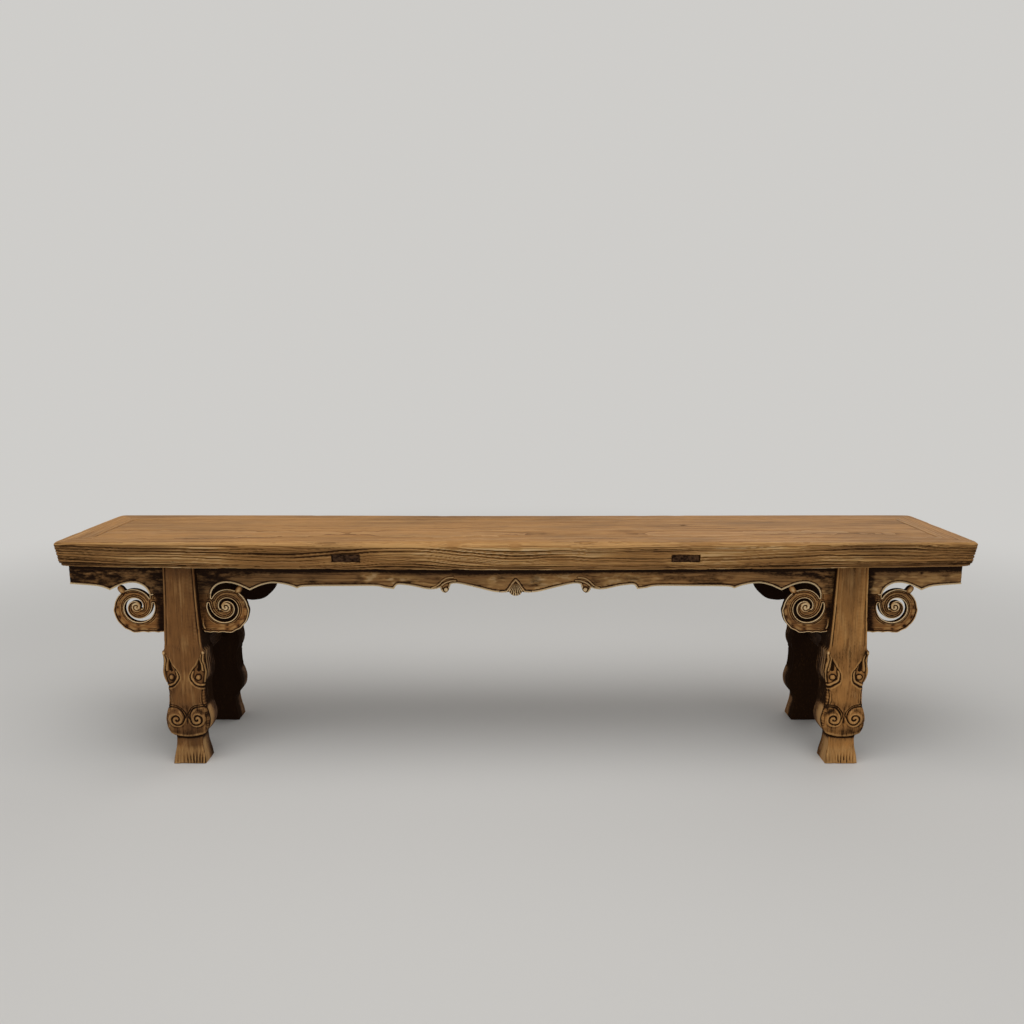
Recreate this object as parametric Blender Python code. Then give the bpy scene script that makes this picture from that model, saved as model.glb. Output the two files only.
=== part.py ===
"""Low altar bench: a mitred frame-and-panel top on four forked, carved legs.

Two long aprons run through the forked leg tops, with spandrels under them on both sides of each leg: pierced
scrolls at the front, plain boards at the back. Metres, +Z up, the front is -Y, and the origin is on the floor
under the middle of the top.
"""

import math

import bmesh
import bpy
from mathutils import Matrix

# Overall sizes
LENGTH = 2.100
DEPTH = 0.352
HEIGHT = 0.545
CLEARANCE = 0.0003

# Top frame and its moulded edge
TOP_THICKNESS = 0.058
FRAME_WIDTH = 0.068
EDGE_ARRIS_RADIUS = 0.007
EDGE_LEAN = 0.005
EDGE_FOOT_WIDTH = 0.016
EDGE_FOOT_HEIGHT = 0.018
LIP_LEG_GAP = 0.002
STILE_SAG = 0.009
STILE_ARRIS_WEAR = 0.011
CORNER_TENON_HEIGHT = 0.016
CORNER_TENON_ABOVE_UNDERSIDE = 0.018
CORNER_TENON_WIDTH = 0.030
CORNER_TENON_INSET = 0.012
CORNER_TENON_COVER = 0.016

# Floating panel and the battens under it
PANEL_THICKNESS = 0.018
TONGUE_THICKNESS = 0.008
TONGUE_COVER = 0.005
GROOVE_DEPTH = 0.009
TONGUE_END_GAP = 0.0007
BATTEN_SPACING = 0.772
BATTEN_WIDTH = 0.063
BATTEN_HEIGHT = 0.030
BATTEN_TENON_HEIGHT = 0.018
BATTEN_TENON_RISE = 0.0015
BATTEN_TENON_RECESS = 0.004
DOVETAIL_NECK = 0.036
DOVETAIL_FLARE = 0.004
DOVETAIL_HEIGHT = 0.006
DOVETAIL_LAP = 0.0015

# Legs, with heights above the floor
LEG_OVERHANG = 0.271
LEG_DEPTH = 0.060
LEG_SETBACK_TOP = 0.032
LEG_SETBACK_FOOT = 0.020
LEG_TOP_HALF_WIDTH = 0.036
SHAFT_MID_HALF_WIDTH = 0.0385
LEG_TENON_WIDTH = 0.040
LEG_TENON_THICKNESS = 0.009
LEG_TENON_HEIGHT = 0.028
PEG_RADIUS = 0.0032
PEG_HEIGHT_IN_TENON = 0.014
PEG_RECESS = 0.0015
PEG_PAST_TENON = 0.0032
PEG_SIDES = 12

# Carved outline of the leg: runs of (height, half width), smooth within a run and sharp where two runs meet
FOOT_RUN = ((0.0, 0.0385), (0.018, 0.0362), (0.040, 0.0320), (0.060, 0.0305), (0.067, 0.0325))
CHIN_RUN = (
    (0.067, 0.0325), (0.075, 0.0400), (0.090, 0.0492),
    (0.110, 0.0525), (0.128, 0.0492), (0.139, 0.0455),
)
BODY_RUN = ((0.139, 0.0455), (0.158, 0.0436), (0.182, 0.0430), (0.200, 0.0456))
LEAF_RUN = (
    (0.200, 0.0456), (0.212, 0.0502), (0.228, 0.0525),
    (0.242, 0.0510), (0.260, 0.0492), (0.278, 0.0498),
)
SHOULDER_RUN = ((0.278, 0.0498), (0.285, 0.0448), (0.303, 0.0430))
LEG_RUNS = (FOOT_RUN, CHIN_RUN, BODY_RUN, LEAF_RUN, SHOULDER_RUN)

# How far the front and back faces of the leg are cut in at the ankle: (height, cut)
ANKLE_CUT = ((0.0, 0.0), (0.020, 0.0020), (0.048, 0.0060), (0.066, 0.0070), (0.077, 0.0015), (0.090, 0.0))

# Aprons under the top
APRON_END_SETBACK = 0.011
APRON_THICKNESS = 0.020
APRON_SETBACK = 0.048
APRON_HEIGHT = 0.0557
WING_END_RISE = 0.0050
WING_BEND_SHARE = 0.30
WING_BEND_RISE_SHARE = 0.65
END_APRON_THICKNESS = 0.020
END_APRON_HEIGHT = 0.050
END_APRON_INSET = 0.004
END_TENON_THICKNESS = 0.010
END_TENON_HEIGHT = 0.030
END_TENON_LENGTH = 0.010

# Lower edge of the apron from its middle to the inner scroll, in runs: shares of that span, and the rise above
# the plain edge at each share
FAN_SHARES = (0.0, 0.012, 0.0205, 0.0245)
FAN_RISES = (-0.0235, -0.0220, -0.0180, -0.0138)
SWAG_SHARES = (0.0245, 0.033, 0.060, 0.090, 0.144, 0.200, 0.226, 0.2437)
SWAG_RISES = (-0.0138, -0.0149, -0.0152, -0.0128, -0.0042, 0.0042, 0.0064, 0.0048)
CURL_SHARES = (0.2437, 0.2482, 0.2537, 0.2617, 0.2702, 0.2787, 0.2842)
CURL_RISES = (0.0048, -0.0045, -0.0120, -0.0158, -0.0155, -0.0115, -0.0040)
STEP_SHARES = (0.2842, 0.297, 0.317, 0.342, 0.380, 0.412, 0.444, 0.457)
STEP_RISES = (-0.0040, -0.0066, -0.0080, -0.0065, -0.0010, 0.0022, 0.0030, -0.0072)
PLAIN_SHARES = (0.457, 0.490, 0.530, 0.650, 0.790, 0.821)
PLAIN_RISES = (-0.0072, -0.0046, 0.0, 0.0, -0.0010, -0.0057)
CLOUD_SHARES = (0.821, 0.846, 0.886, 0.922, 0.956)
CLOUD_RISES = (-0.0057, 0.0005, 0.0060, 0.0070, 0.0020)
APRON_RUNS = (
    (FAN_SHARES, FAN_RISES), (SWAG_SHARES, SWAG_RISES), (CURL_SHARES, CURL_RISES),
    (STEP_SHARES, STEP_RISES), (PLAIN_SHARES, PLAIN_RISES), (CLOUD_SHARES, CLOUD_RISES),
)

# Scroll spandrels. A turn is a quarter turn about the scroll's middle, counted from its top towards the leg.
SCROLL_DROP = 0.107
SCROLL_INNER_REACH = 0.099
SCROLL_OUTER_REACH = 0.110
SPIRAL_START = 0.0483
SPIRAL_STEP = 0.00895
SPIRAL_EASE = 0.00034
GAP_HALF_WIDTH = 0.00475
GAP_TAPER = 0.00035
GAP_FIRST_TURN = 0.84
GAP_LAST_TURN = 5.2
GAP_OPENING_TURN = 0.60
GAP_START_SHARE = 0.25
SCROLL_THICKNESS = 0.011
SCROLL_THIN_FROM = 0.044
BRIDGE_TURN = 0.62
ARCH_GAP = 0.0155
ARCH_TIP_TURN = 0.64
ARCH_END_TURN = 0.50
CUSP_TURN = -0.61
CUSP_RISE = 0.0073
KNOB_TURN = -0.42
KNOB_BITE = 0.0030
KNOB_HALF_WIDTH = 0.0066
KNOB_CLEARANCE = 0.0008
KNOB_ARC_DEGREES = 210
SCALLOP_HEIGHT = 0.0020
SCALLOP_COUNT = 4
SCALLOP_FIRST_TURN = -1.0
SCROLL_BOTTOM_TURN = -2.0

# Plain spandrels at the back: lower edge from the leg to the apron's cusp, about the middle of a scroll
LOBE_RUN = (
    (-0.0540, -0.0600), (-0.0290, -0.0490), (-0.0075, -0.0500), (0.0210, -0.0442),
    (0.0430, -0.0257), (0.0535, -0.0055), (0.0570, 0.0180),
)

# Side stretchers
STRETCHER_DROP = 0.048
STRETCHER_HEIGHT = 0.036
STRETCHER_THICKNESS = 0.024
STRETCHER_TENON_HEIGHT = 0.024
STRETCHER_TENON_THICKNESS = 0.012
STRETCHER_TENON_LENGTH = 0.024

# How finely curves are cut into straight steps
STEPS_PER_POINT = 4
STEPS_PER_TURN = 9
ARC_STEPS = 5
STILE_STEPS = 16
OVERCUT = 0.010

# Wood colours as linear red, green, blue, with roughness
WOODS = {
    "elm_top": ((0.36, 0.205, 0.085), 0.60),
    "elm_leg": ((0.24, 0.118, 0.042), 0.62),
    "elm_apron": ((0.17, 0.082, 0.032), 0.66),
    "elm_scroll": ((0.20, 0.100, 0.040), 0.64),
    "elm_inside": ((0.13, 0.066, 0.028), 0.75),
    "elm_peg": ((0.10, 0.048, 0.020), 0.70),
}

# Places that follow from the sizes
UNDERSIDE = HEIGHT - TOP_THICKNESS
EDGE_LIP_WIDTH = LEG_SETBACK_TOP - LIP_LEG_GAP
LEG_X = LENGTH / 2 - LEG_OVERHANG
APRON_HALF_LENGTH = LENGTH / 2 - APRON_END_SETBACK
APRON_MIDDLE_Y = -DEPTH / 2 + APRON_SETBACK + APRON_THICKNESS / 2
APRON_EDGE_Z = UNDERSIDE - APRON_HEIGHT
SCROLL_Z = UNDERSIDE - SCROLL_DROP
PANEL_UNDERSIDE = HEIGHT - PANEL_THICKNESS
BATTEN_TENON_FOOT = PANEL_UNDERSIDE - BATTEN_HEIGHT + BATTEN_TENON_RISE
LEG_CHEEK = APRON_SETBACK - LEG_SETBACK_TOP
LEG_TENON_SETBACK = LEG_SETBACK_TOP + (LEG_CHEEK - LEG_TENON_THICKNESS) / 2
PEG_Z = UNDERSIDE + PEG_HEIGHT_IN_TENON

# Turns that lay a flat outline in the upright planes: along X and up, or along Y and up
FACING_FRONT = (math.pi / 2, 0.0, 0.0)
FACING_SIDE = (math.pi / 2, 0.0, math.pi / 2)


def clear_scene():
    for thing in list(bpy.data.objects):
        bpy.data.objects.remove(thing, do_unlink=True)


def make_collection(name):
    collection = bpy.data.collections.new(name)
    bpy.context.scene.collection.children.link(collection)
    return collection


def wood(name):
    colour, roughness = WOODS[name]
    material = bpy.data.materials.new(name)
    material.use_nodes = True
    shader = material.node_tree.nodes["Principled BSDF"]
    shader.inputs["Base Color"].default_value = (*colour, 1.0)
    shader.inputs["Roughness"].default_value = roughness
    shader.inputs["Metallic"].default_value = 0.0
    return material


def solid_from_mesh(name, mesh):
    solid = bpy.data.objects.new(name, mesh)
    cutters.objects.link(solid)
    solid.hide_render = True
    solid.display_type = "WIRE"
    return solid


def evaluated_mesh(solid):
    bpy.context.view_layer.update()
    depsgraph = bpy.context.evaluated_depsgraph_get()
    return bpy.data.meshes.new_from_object(solid.evaluated_get(depsgraph))


def extruded(name, loops, thickness, turn, middle=(0.0, 0.0, 0.0)):
    """A board cut from flat outlines: the first loop is its edge and the others are holes."""
    curve = bpy.data.curves.new(name, "CURVE")
    curve.dimensions = "2D"
    curve.fill_mode = "BOTH"
    curve.extrude = thickness / 2
    for loop in loops:
        spline = curve.splines.new("POLY")
        spline.points.add(len(loop) - 1)
        spline.use_cyclic_u = True
        for point, (across, up) in zip(spline.points, loop):
            point.co = (across, up, 0.0, 1.0)
    outline = bpy.data.objects.new(name + "_outline", curve)
    cutters.objects.link(outline)
    outline.rotation_euler = turn
    outline.location = middle
    mesh = evaluated_mesh(outline)
    welded = bmesh.new()
    welded.from_mesh(mesh)
    bmesh.ops.remove_doubles(welded, verts=welded.verts, dist=1e-6)
    bmesh.ops.recalc_face_normals(welded, faces=welded.faces)
    welded.to_mesh(mesh)
    welded.free()
    mesh.transform(outline.matrix_world)
    bpy.data.objects.remove(outline)
    return solid_from_mesh(name, mesh)


def lofted(name, sections):
    """A bar along X through its sections, each a place along X and a loop of points across it."""
    shape = bmesh.new()
    rows = [[shape.verts.new((x, across, up)) for across, up in loop] for x, loop in sections]
    for near, far in zip(rows, rows[1:]):
        for first, second, third, fourth in zip(near, near[1:] + near[:1], far[1:] + far[:1], far):
            shape.faces.new((first, second, third, fourth))
    shape.faces.new(rows[0])
    shape.faces.new(rows[-1])
    bmesh.ops.triangulate(shape, faces=shape.faces)
    bmesh.ops.recalc_face_normals(shape, faces=shape.faces)
    mesh = bpy.data.meshes.new(name)
    shape.to_mesh(mesh)
    shape.free()
    return solid_from_mesh(name, mesh)


def block(name, low, high, turn_about_z=0.0):
    """A box between two corners, turned about its own middle if asked."""
    size = [top - bottom for bottom, top in zip(low, high)]
    middle = [(top + bottom) / 2 for bottom, top in zip(low, high)]
    shape = bmesh.new()
    bmesh.ops.create_cube(shape, size=1.0)
    bmesh.ops.scale(shape, vec=size, verts=shape.verts)
    placed = Matrix.Translation(middle) @ Matrix.Rotation(turn_about_z, 4, "Z")
    bmesh.ops.transform(shape, matrix=placed, verts=shape.verts)
    mesh = bpy.data.meshes.new(name)
    shape.to_mesh(mesh)
    shape.free()
    return solid_from_mesh(name, mesh)


def round_bar(name, radius, near, far):
    """A round peg or drill along Y between two points at the same X and Z."""
    shape = bmesh.new()
    length = far[1] - near[1]
    bmesh.ops.create_cone(
        shape, cap_ends=True, segments=PEG_SIDES, radius1=radius, radius2=radius, depth=length
    )
    middle = [(a + b) / 2 for a, b in zip(near, far)]
    placed = Matrix.Translation(middle) @ Matrix.Rotation(math.pi / 2, 4, "X")
    bmesh.ops.transform(shape, matrix=placed, verts=shape.verts)
    mesh = bpy.data.meshes.new(name)
    shape.to_mesh(mesh)
    shape.free()
    return solid_from_mesh(name, mesh)


def combine(solid, other, operation):
    """Cuts, joins or trims a solid by another one and keeps the result."""
    boolean = solid.modifiers.new(operation.lower(), "BOOLEAN")
    boolean.operation = operation
    boolean.solver = "EXACT"
    boolean.object = other
    solid.data = evaluated_mesh(solid)
    solid.modifiers.clear()
    return solid


def place(name, solid, wood_name, at=(0.0, 0.0, 0.0), turn=0.0):
    """Puts one copy of a finished solid in the bench, turned about the upright axis."""
    piece = bpy.data.objects.new(name, solid.data.copy())
    piece.data.name = name
    piece.data.materials.clear()
    piece.data.materials.append(materials[wood_name])
    parts.objects.link(piece)
    piece.parent = bench
    piece.location = at
    piece.rotation_euler = (0.0, 0.0, turn)
    return piece


def smooth_run(points):
    """Points along a curve through the given ones, without the last."""
    found = []
    last = len(points) - 1
    for index in range(last):
        before = points[max(index - 1, 0)]
        start = points[index]
        end = points[index + 1]
        after = points[min(index + 2, last)]
        for step in range(STEPS_PER_POINT):
            t = step / STEPS_PER_POINT
            found.append(tuple(curve_value(t, *values) for values in zip(before, start, end, after)))
    return found


def curve_value(t, before, start, end, after):
    slope_start = (end - before) / 2
    slope_end = (after - start) / 2
    rise = end - start
    bend = 3 * rise - 2 * slope_start - slope_end
    twist = slope_start + slope_end - 2 * rise
    return start + slope_start * t + bend * t ** 2 + twist * t ** 3


def arc(middle, radii, first, last):
    """Points on a quarter of an ellipse, angles in degrees."""
    found = []
    for step in range(ARC_STEPS + 1):
        angle = math.radians(first + (last - first) * step / ARC_STEPS)
        found.append((middle[0] + radii[0] * math.cos(angle), middle[1] + radii[1] * math.sin(angle)))
    return found


# Top frame

def frame_section(arris_radius=EDGE_ARRIS_RADIUS, sag=0.0):
    """Cross-section of a frame piece: distance in from its outer edge, and height.

    A sag lowers the outer lip, in front of the leg.
    """
    arris_middle = (arris_radius, HEIGHT - arris_radius)
    foot_middle = (EDGE_LEAN + EDGE_FOOT_WIDTH, UNDERSIDE - sag + EDGE_FOOT_HEIGHT)
    groove_top = HEIGHT - TONGUE_COVER + CLEARANCE
    groove_foot = HEIGHT - TONGUE_COVER - TONGUE_THICKNESS - CLEARANCE
    section = arc(arris_middle, (arris_radius, arris_radius), 90, 180)
    section += arc(foot_middle, (EDGE_FOOT_WIDTH, EDGE_FOOT_HEIGHT), 180, 270)
    if sag > 0.0:
        section += [(EDGE_LIP_WIDTH, UNDERSIDE - sag), (EDGE_LIP_WIDTH, UNDERSIDE)]
    section += [(FRAME_WIDTH, UNDERSIDE), (FRAME_WIDTH, groove_foot)]
    section += [(FRAME_WIDTH - GROOVE_DEPTH, groove_foot), (FRAME_WIDTH - GROOVE_DEPTH, groove_top)]
    section += [(FRAME_WIDTH, groove_top), (FRAME_WIDTH, HEIGHT)]
    return section


def mitre_cutter(end, keeps_stile):
    """A large block on one side of the front mitre at the end given by its sign along X."""
    size = 4 * FRAME_WIDTH
    gap = CLEARANCE / 2
    away = (size / 2 - gap) * (1 if keeps_stile else -1)
    half_width = FRAME_WIDTH / 2
    middle_x = end * (LENGTH / 2 - half_width + away / math.sqrt(2))
    middle_y = -DEPTH / 2 + half_width + away / math.sqrt(2)
    low = (middle_x - size / 2, middle_y - size / 2, 0.0)
    high = (middle_x + size / 2, middle_y + size / 2, 2 * HEIGHT)
    return block("mitre_cutter", low, high, end * math.pi / 4)


def corner_tenon(end, spare):
    """The tenon of an end rail in the front stile, or its mortise when spare is the clearance."""
    outer = LENGTH / 2 - FRAME_WIDTH + CORNER_TENON_INSET + CORNER_TENON_WIDTH
    inner = LENGTH / 2 - FRAME_WIDTH + CORNER_TENON_INSET
    foot = UNDERSIDE + CORNER_TENON_ABOVE_UNDERSIDE
    front = -DEPTH / 2 + CORNER_TENON_COVER - spare
    back = -DEPTH / 2 + FRAME_WIDTH
    low_x, high_x = sorted((end * inner, end * outer))
    low = (low_x - spare, front, foot - spare)
    high = (high_x + spare, back, foot + CORNER_TENON_HEIGHT + spare)
    return block("corner_tenon", low, high)


def batten_tenon(side, spare):
    x = side * BATTEN_SPACING / 2
    half = BATTEN_WIDTH / 2 + spare
    reach = DEPTH / 2 - BATTEN_TENON_RECESS if spare == 0.0 else DEPTH / 2 + OVERCUT
    low = (x - half, -reach, BATTEN_TENON_FOOT - spare)
    high = (x + half, reach, BATTEN_TENON_FOOT + BATTEN_TENON_HEIGHT + spare)
    return block("batten_tenon", low, high)


def leg_tenon(x, spare):
    """Tenon on the front cheek of a leg, or its mortise in the stile."""
    front = -DEPTH / 2 + LEG_TENON_SETBACK - spare
    back = front + LEG_TENON_THICKNESS + 2 * spare
    half = LEG_TENON_WIDTH / 2 + spare
    low = (x - half, front, UNDERSIDE - OVERCUT)
    high = (x + half, back, UNDERSIDE + LEG_TENON_HEIGHT + spare)
    return block("leg_tenon", low, high)


def peg_bar(x, spare):
    """The peg through a stile and a leg tenon, or the hole for it."""
    face = EDGE_LEAN + PEG_RECESS if spare == 0.0 else -OVERCUT
    end = LEG_TENON_SETBACK + LEG_TENON_THICKNESS + PEG_PAST_TENON + 2 * spare
    near = (x, -DEPTH / 2 + face, PEG_Z)
    far = (x, -DEPTH / 2 + end, PEG_Z)
    return round_bar("peg", PEG_RADIUS + spare, near, far)


def stile_section(x):
    """A stile's section at x: towards the middle its lip hangs lower and its arris is more worn."""
    share = 1 - (x / (LENGTH / 2 + OVERCUT)) ** 2
    section = frame_section(EDGE_ARRIS_RADIUS + STILE_ARRIS_WEAR * share ** 3, STILE_SAG * share)
    return [(inset - DEPTH / 2, up) for inset, up in section]


def make_stile():
    stations = [LENGTH * (step / STILE_STEPS - 0.5) for step in range(STILE_STEPS + 1)]
    stile = lofted("stile", [(x, stile_section(x)) for x in stations])
    for end in (-1, 1):
        combine(stile, mitre_cutter(end, True), "DIFFERENCE")
        combine(stile, corner_tenon(end, CLEARANCE), "DIFFERENCE")
        combine(stile, batten_tenon(end, CLEARANCE), "DIFFERENCE")
        combine(stile, leg_tenon(end * LEG_X, CLEARANCE), "DIFFERENCE")
        combine(stile, peg_bar(end * LEG_X, CLEARANCE), "DIFFERENCE")
    return stile


def make_end_rail():
    """The right end rail, with a tenon at both mitres."""
    section = [(LENGTH / 2 - inset, up) for inset, up in frame_section()]
    rail = extruded("end_rail", [section], DEPTH, FACING_FRONT)
    front_cutter = mitre_cutter(1, False)
    tenon = corner_tenon(1, 0.0)
    combine(rail, front_cutter, "DIFFERENCE")
    combine(rail, flipped_front_to_back(front_cutter), "DIFFERENCE")
    combine(rail, tenon, "UNION")
    combine(rail, flipped_front_to_back(tenon), "UNION")
    return rail


def flipped_front_to_back(solid):
    mesh = solid.data.copy()
    mesh.transform(Matrix.Diagonal((1.0, -1.0, 1.0, 1.0)))
    mesh.flip_normals()
    return solid_from_mesh(solid.name + "_back", mesh)


def dovetail(side, spare):
    """The key on a batten, or its housing in the panel."""
    x = side * BATTEN_SPACING / 2
    neck = DOVETAIL_NECK / 2 + spare
    head = neck + DOVETAIL_FLARE
    foot = PANEL_UNDERSIDE - CLEARANCE - DOVETAIL_LAP
    shoulder = PANEL_UNDERSIDE - CLEARANCE
    top = PANEL_UNDERSIDE + DOVETAIL_HEIGHT - CLEARANCE + spare
    outline = [(x - neck, foot), (x + neck, foot), (x + neck, shoulder)]
    outline += [(x + head, top), (x - head, top), (x - neck, shoulder)]
    return extruded("dovetail", [outline], DEPTH - 2 * FRAME_WIDTH - 2 * CLEARANCE + 4 * spare, FACING_FRONT)


def make_panel():
    half_x = LENGTH / 2 - FRAME_WIDTH - CLEARANCE
    half_y = DEPTH / 2 - FRAME_WIDTH - CLEARANCE
    reach = GROOVE_DEPTH - TONGUE_END_GAP + CLEARANCE
    tongue_top = HEIGHT - TONGUE_COVER
    panel = block("panel", (-half_x, -half_y, PANEL_UNDERSIDE), (half_x, half_y, HEIGHT))
    tongue_low = (-half_x - reach, -half_y - reach, tongue_top - TONGUE_THICKNESS)
    combine(panel, block("tongue", tongue_low, (half_x + reach, half_y + reach, tongue_top)), "UNION")
    for side in (-1, 1):
        combine(panel, dovetail(side, CLEARANCE), "DIFFERENCE")
    return panel


def make_batten():
    """The right batten: bar under the panel, dovetail key on top and a through tenon at each end."""
    x = BATTEN_SPACING / 2
    half_x = BATTEN_WIDTH / 2
    half_y = DEPTH / 2 - FRAME_WIDTH - CLEARANCE
    low = (x - half_x, -half_y, PANEL_UNDERSIDE - BATTEN_HEIGHT)
    batten = block("batten", low, (x + half_x, half_y, PANEL_UNDERSIDE - CLEARANCE))
    combine(batten, batten_tenon(1, 0.0), "UNION")
    combine(batten, dovetail(1, 0.0), "UNION")
    return batten


# Scrolls and aprons

def spiral_radius(turn):
    return SPIRAL_START - SPIRAL_STEP * turn + SPIRAL_EASE * turn ** 2


def gap_half_width(turn):
    return GAP_HALF_WIDTH - GAP_TAPER * turn


def gap_inside(turn):
    return spiral_radius(turn) - gap_half_width(turn)


def slot_half_width(turn):
    """Half the width of the pierced slot, which opens gradually from its outer end."""
    opening = min(1.0, (turn - GAP_FIRST_TURN) / GAP_OPENING_TURN)
    return gap_half_width(turn) * (GAP_START_SHARE + (1 - GAP_START_SHARE) * math.sqrt(opening))


def arch_radius(turn):
    """Lower edge of the apron over a scroll, from the cusp to the tip of the gap under it."""
    if turn >= 0.0:
        return gap_inside(turn) + ARCH_GAP * (1 - (turn / ARCH_TIP_TURN) ** 2)
    return gap_inside(turn) + ARCH_GAP + CUSP_RISE * (turn / CUSP_TURN) ** 4


def scallop(turn):
    if turn > SCALLOP_FIRST_TURN:
        return 0.0
    share = (SCALLOP_FIRST_TURN - turn) / (SCALLOP_FIRST_TURN - SCROLL_BOTTOM_TURN)
    return SCALLOP_HEIGHT * abs(math.sin(SCALLOP_COUNT * math.pi * share))


def scroll_point(reach, turn, radius):
    """Distance from the leg's axis, and height, of a point given about the scroll's middle."""
    angle = turn * math.pi / 2
    return (reach - radius * math.sin(angle), SCROLL_Z + radius * math.cos(angle))


def turns(first, last):
    count = max(2, round(abs(last - first) * STEPS_PER_TURN))
    return [first + (last - first) * step / count for step in range(count + 1)]


def seam_height():
    return scroll_point(0.0, ARCH_END_TURN, arch_radius(ARCH_END_TURN))[1]


def plate_bottom():
    return SCROLL_Z - gap_inside(SCROLL_BOTTOM_TURN)


def knob_span():
    """Nearest and farthest edge of the little ball between the scroll and the apron."""
    return gap_inside(KNOB_TURN) - KNOB_BITE, arch_radius(KNOB_TURN) - KNOB_CLEARANCE


def knob_points(reach):
    """Outline of the ball, an oval, from its leg side over the top to its far side."""
    inner, outer = knob_span()
    half_length = (outer - inner) / 2
    across, up = scroll_point(reach, KNOB_TURN, inner + half_length)
    outward = KNOB_TURN * math.pi / 2
    count = 2 * ARC_STEPS
    found = []
    for step in range(count + 1):
        angle = math.radians(KNOB_ARC_DEGREES * (0.5 - step / count))
        along = half_length * math.cos(angle)
        aside = KNOB_HALF_WIDTH * math.sin(angle)
        found.append((
            across - along * math.sin(outward) - aside * math.cos(outward),
            up + along * math.cos(outward) - aside * math.sin(outward),
        ))
    return found


def knob_half_turn():
    return KNOB_HALF_WIDTH / gap_inside(KNOB_TURN) / (math.pi / 2)


def make_scroll_spandrel(name, reach, rear):
    """A pierced scroll, its plate beside the leg and the tongue that fills half of the leg's fork.

    Beside the leg the board is thinned from its rear, which is +Y or -Y as rear is 1 or -1.
    """
    seam = seam_height() - CLEARANCE
    leg_end = CLEARANCE / 2
    knob_half = knob_half_turn()
    plate_edge = [scroll_point(reach, turn, arch_radius(turn)) for turn in turns(ARCH_END_TURN, BRIDGE_TURN)]
    edge = [(leg_end, plate_bottom()), (leg_end, seam), (plate_edge[0][0], seam)]
    edge += plate_edge[1:]
    top_turns = turns(BRIDGE_TURN, KNOB_TURN + knob_half)
    edge += [scroll_point(reach, turn, gap_inside(turn)) for turn in top_turns]
    edge += knob_points(reach)
    edge += [scroll_point(reach, turn, gap_inside(turn) + scallop(turn))
             for turn in turns(KNOB_TURN - knob_half, SCROLL_BOTTOM_TURN)]
    slot_turns = turns(GAP_FIRST_TURN, GAP_LAST_TURN)
    slot = [scroll_point(reach, turn, spiral_radius(turn) + slot_half_width(turn)) for turn in slot_turns]
    slot_turns.reverse()
    slot += [scroll_point(reach, turn, spiral_radius(turn) - slot_half_width(turn)) for turn in slot_turns]
    spandrel = extruded(name, [edge, slot], APRON_THICKNESS, FACING_FRONT)
    thin_rear = rear * (SCROLL_THICKNESS - APRON_THICKNESS / 2)
    beyond_rear = rear * (APRON_THICKNESS / 2 + OVERCUT)
    hollow_low = (SCROLL_THIN_FROM, min(thin_rear, beyond_rear), plate_bottom() - OVERCUT)
    hollow_high = (2 * reach, max(thin_rear, beyond_rear), UNDERSIDE)
    return combine(spandrel, block("scroll_hollow", hollow_low, hollow_high), "DIFFERENCE")


def make_plain_spandrel(name, reach):
    """A spandrel of the back: an unpierced board under the apron's arch, with the same tongue in the fork."""
    seam = seam_height() - CLEARANCE
    leg_end = CLEARANCE / 2
    arch_turns = turns(ARCH_END_TURN, CUSP_TURN)
    arch = [scroll_point(reach, turn, arch_radius(turn) - CLEARANCE) for turn in arch_turns]
    edge = [(leg_end, plate_bottom()), (leg_end, seam), (arch[0][0], seam)]
    edge += arch[1:]
    edge += smooth_run([(reach + across, SCROLL_Z + up) for across, up in reversed(LOBE_RUN)])
    edge.append((reach + LOBE_RUN[0][0], plate_bottom()))
    return extruded(name, [edge], APRON_THICKNESS, FACING_FRONT)


def apron_half_edge():
    """The lower edge of the apron from its middle to its right end."""
    cusp = scroll_point(SCROLL_INNER_REACH, CUSP_TURN, arch_radius(CUSP_TURN))
    span = LEG_X - cusp[0]
    edge = []
    for shares, rises in APRON_RUNS:
        edge += smooth_run([(share * span, APRON_EDGE_Z + rise) for share, rise in zip(shares, rises)])
    edge.append((CLOUD_SHARES[-1] * span, APRON_EDGE_Z + CLOUD_RISES[-1]))
    for turn in turns(CUSP_TURN, ARCH_END_TURN):
        across, up = scroll_point(SCROLL_INNER_REACH, turn, arch_radius(turn))
        edge.append((LEG_X - across, up))
    for turn in turns(ARCH_END_TURN, CUSP_TURN):
        across, up = scroll_point(SCROLL_OUTER_REACH, turn, arch_radius(turn))
        edge.append((LEG_X + across, up))
    wing_x, wing_z = edge[-1]
    wing_end = (APRON_HALF_LENGTH, APRON_EDGE_Z + WING_END_RISE)
    bend_x = wing_x + WING_BEND_SHARE * (wing_end[0] - wing_x)
    bend_z = wing_z + WING_BEND_RISE_SHARE * (wing_end[1] - wing_z)
    edge += smooth_run([(wing_x, wing_z), (bend_x, bend_z), wing_end])[1:]
    edge.append(wing_end)
    return edge


def end_apron_tenon(end, spare):
    """Stub tenons of an end apron, one bar long enough to enter both aprons, or their mortises."""
    x = end * (APRON_HALF_LENGTH - END_APRON_INSET - END_APRON_THICKNESS / 2)
    half = END_TENON_THICKNESS / 2 + spare
    reach = -APRON_MIDDLE_Y - APRON_THICKNESS / 2 + END_TENON_LENGTH + spare
    middle_z = UNDERSIDE - CLEARANCE - END_APRON_HEIGHT / 2
    low = (x - half, -reach, middle_z - END_TENON_HEIGHT / 2 - spare)
    high = (x + half, reach, middle_z + END_TENON_HEIGHT / 2 + spare)
    return block("end_apron_tenon", low, high)


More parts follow.
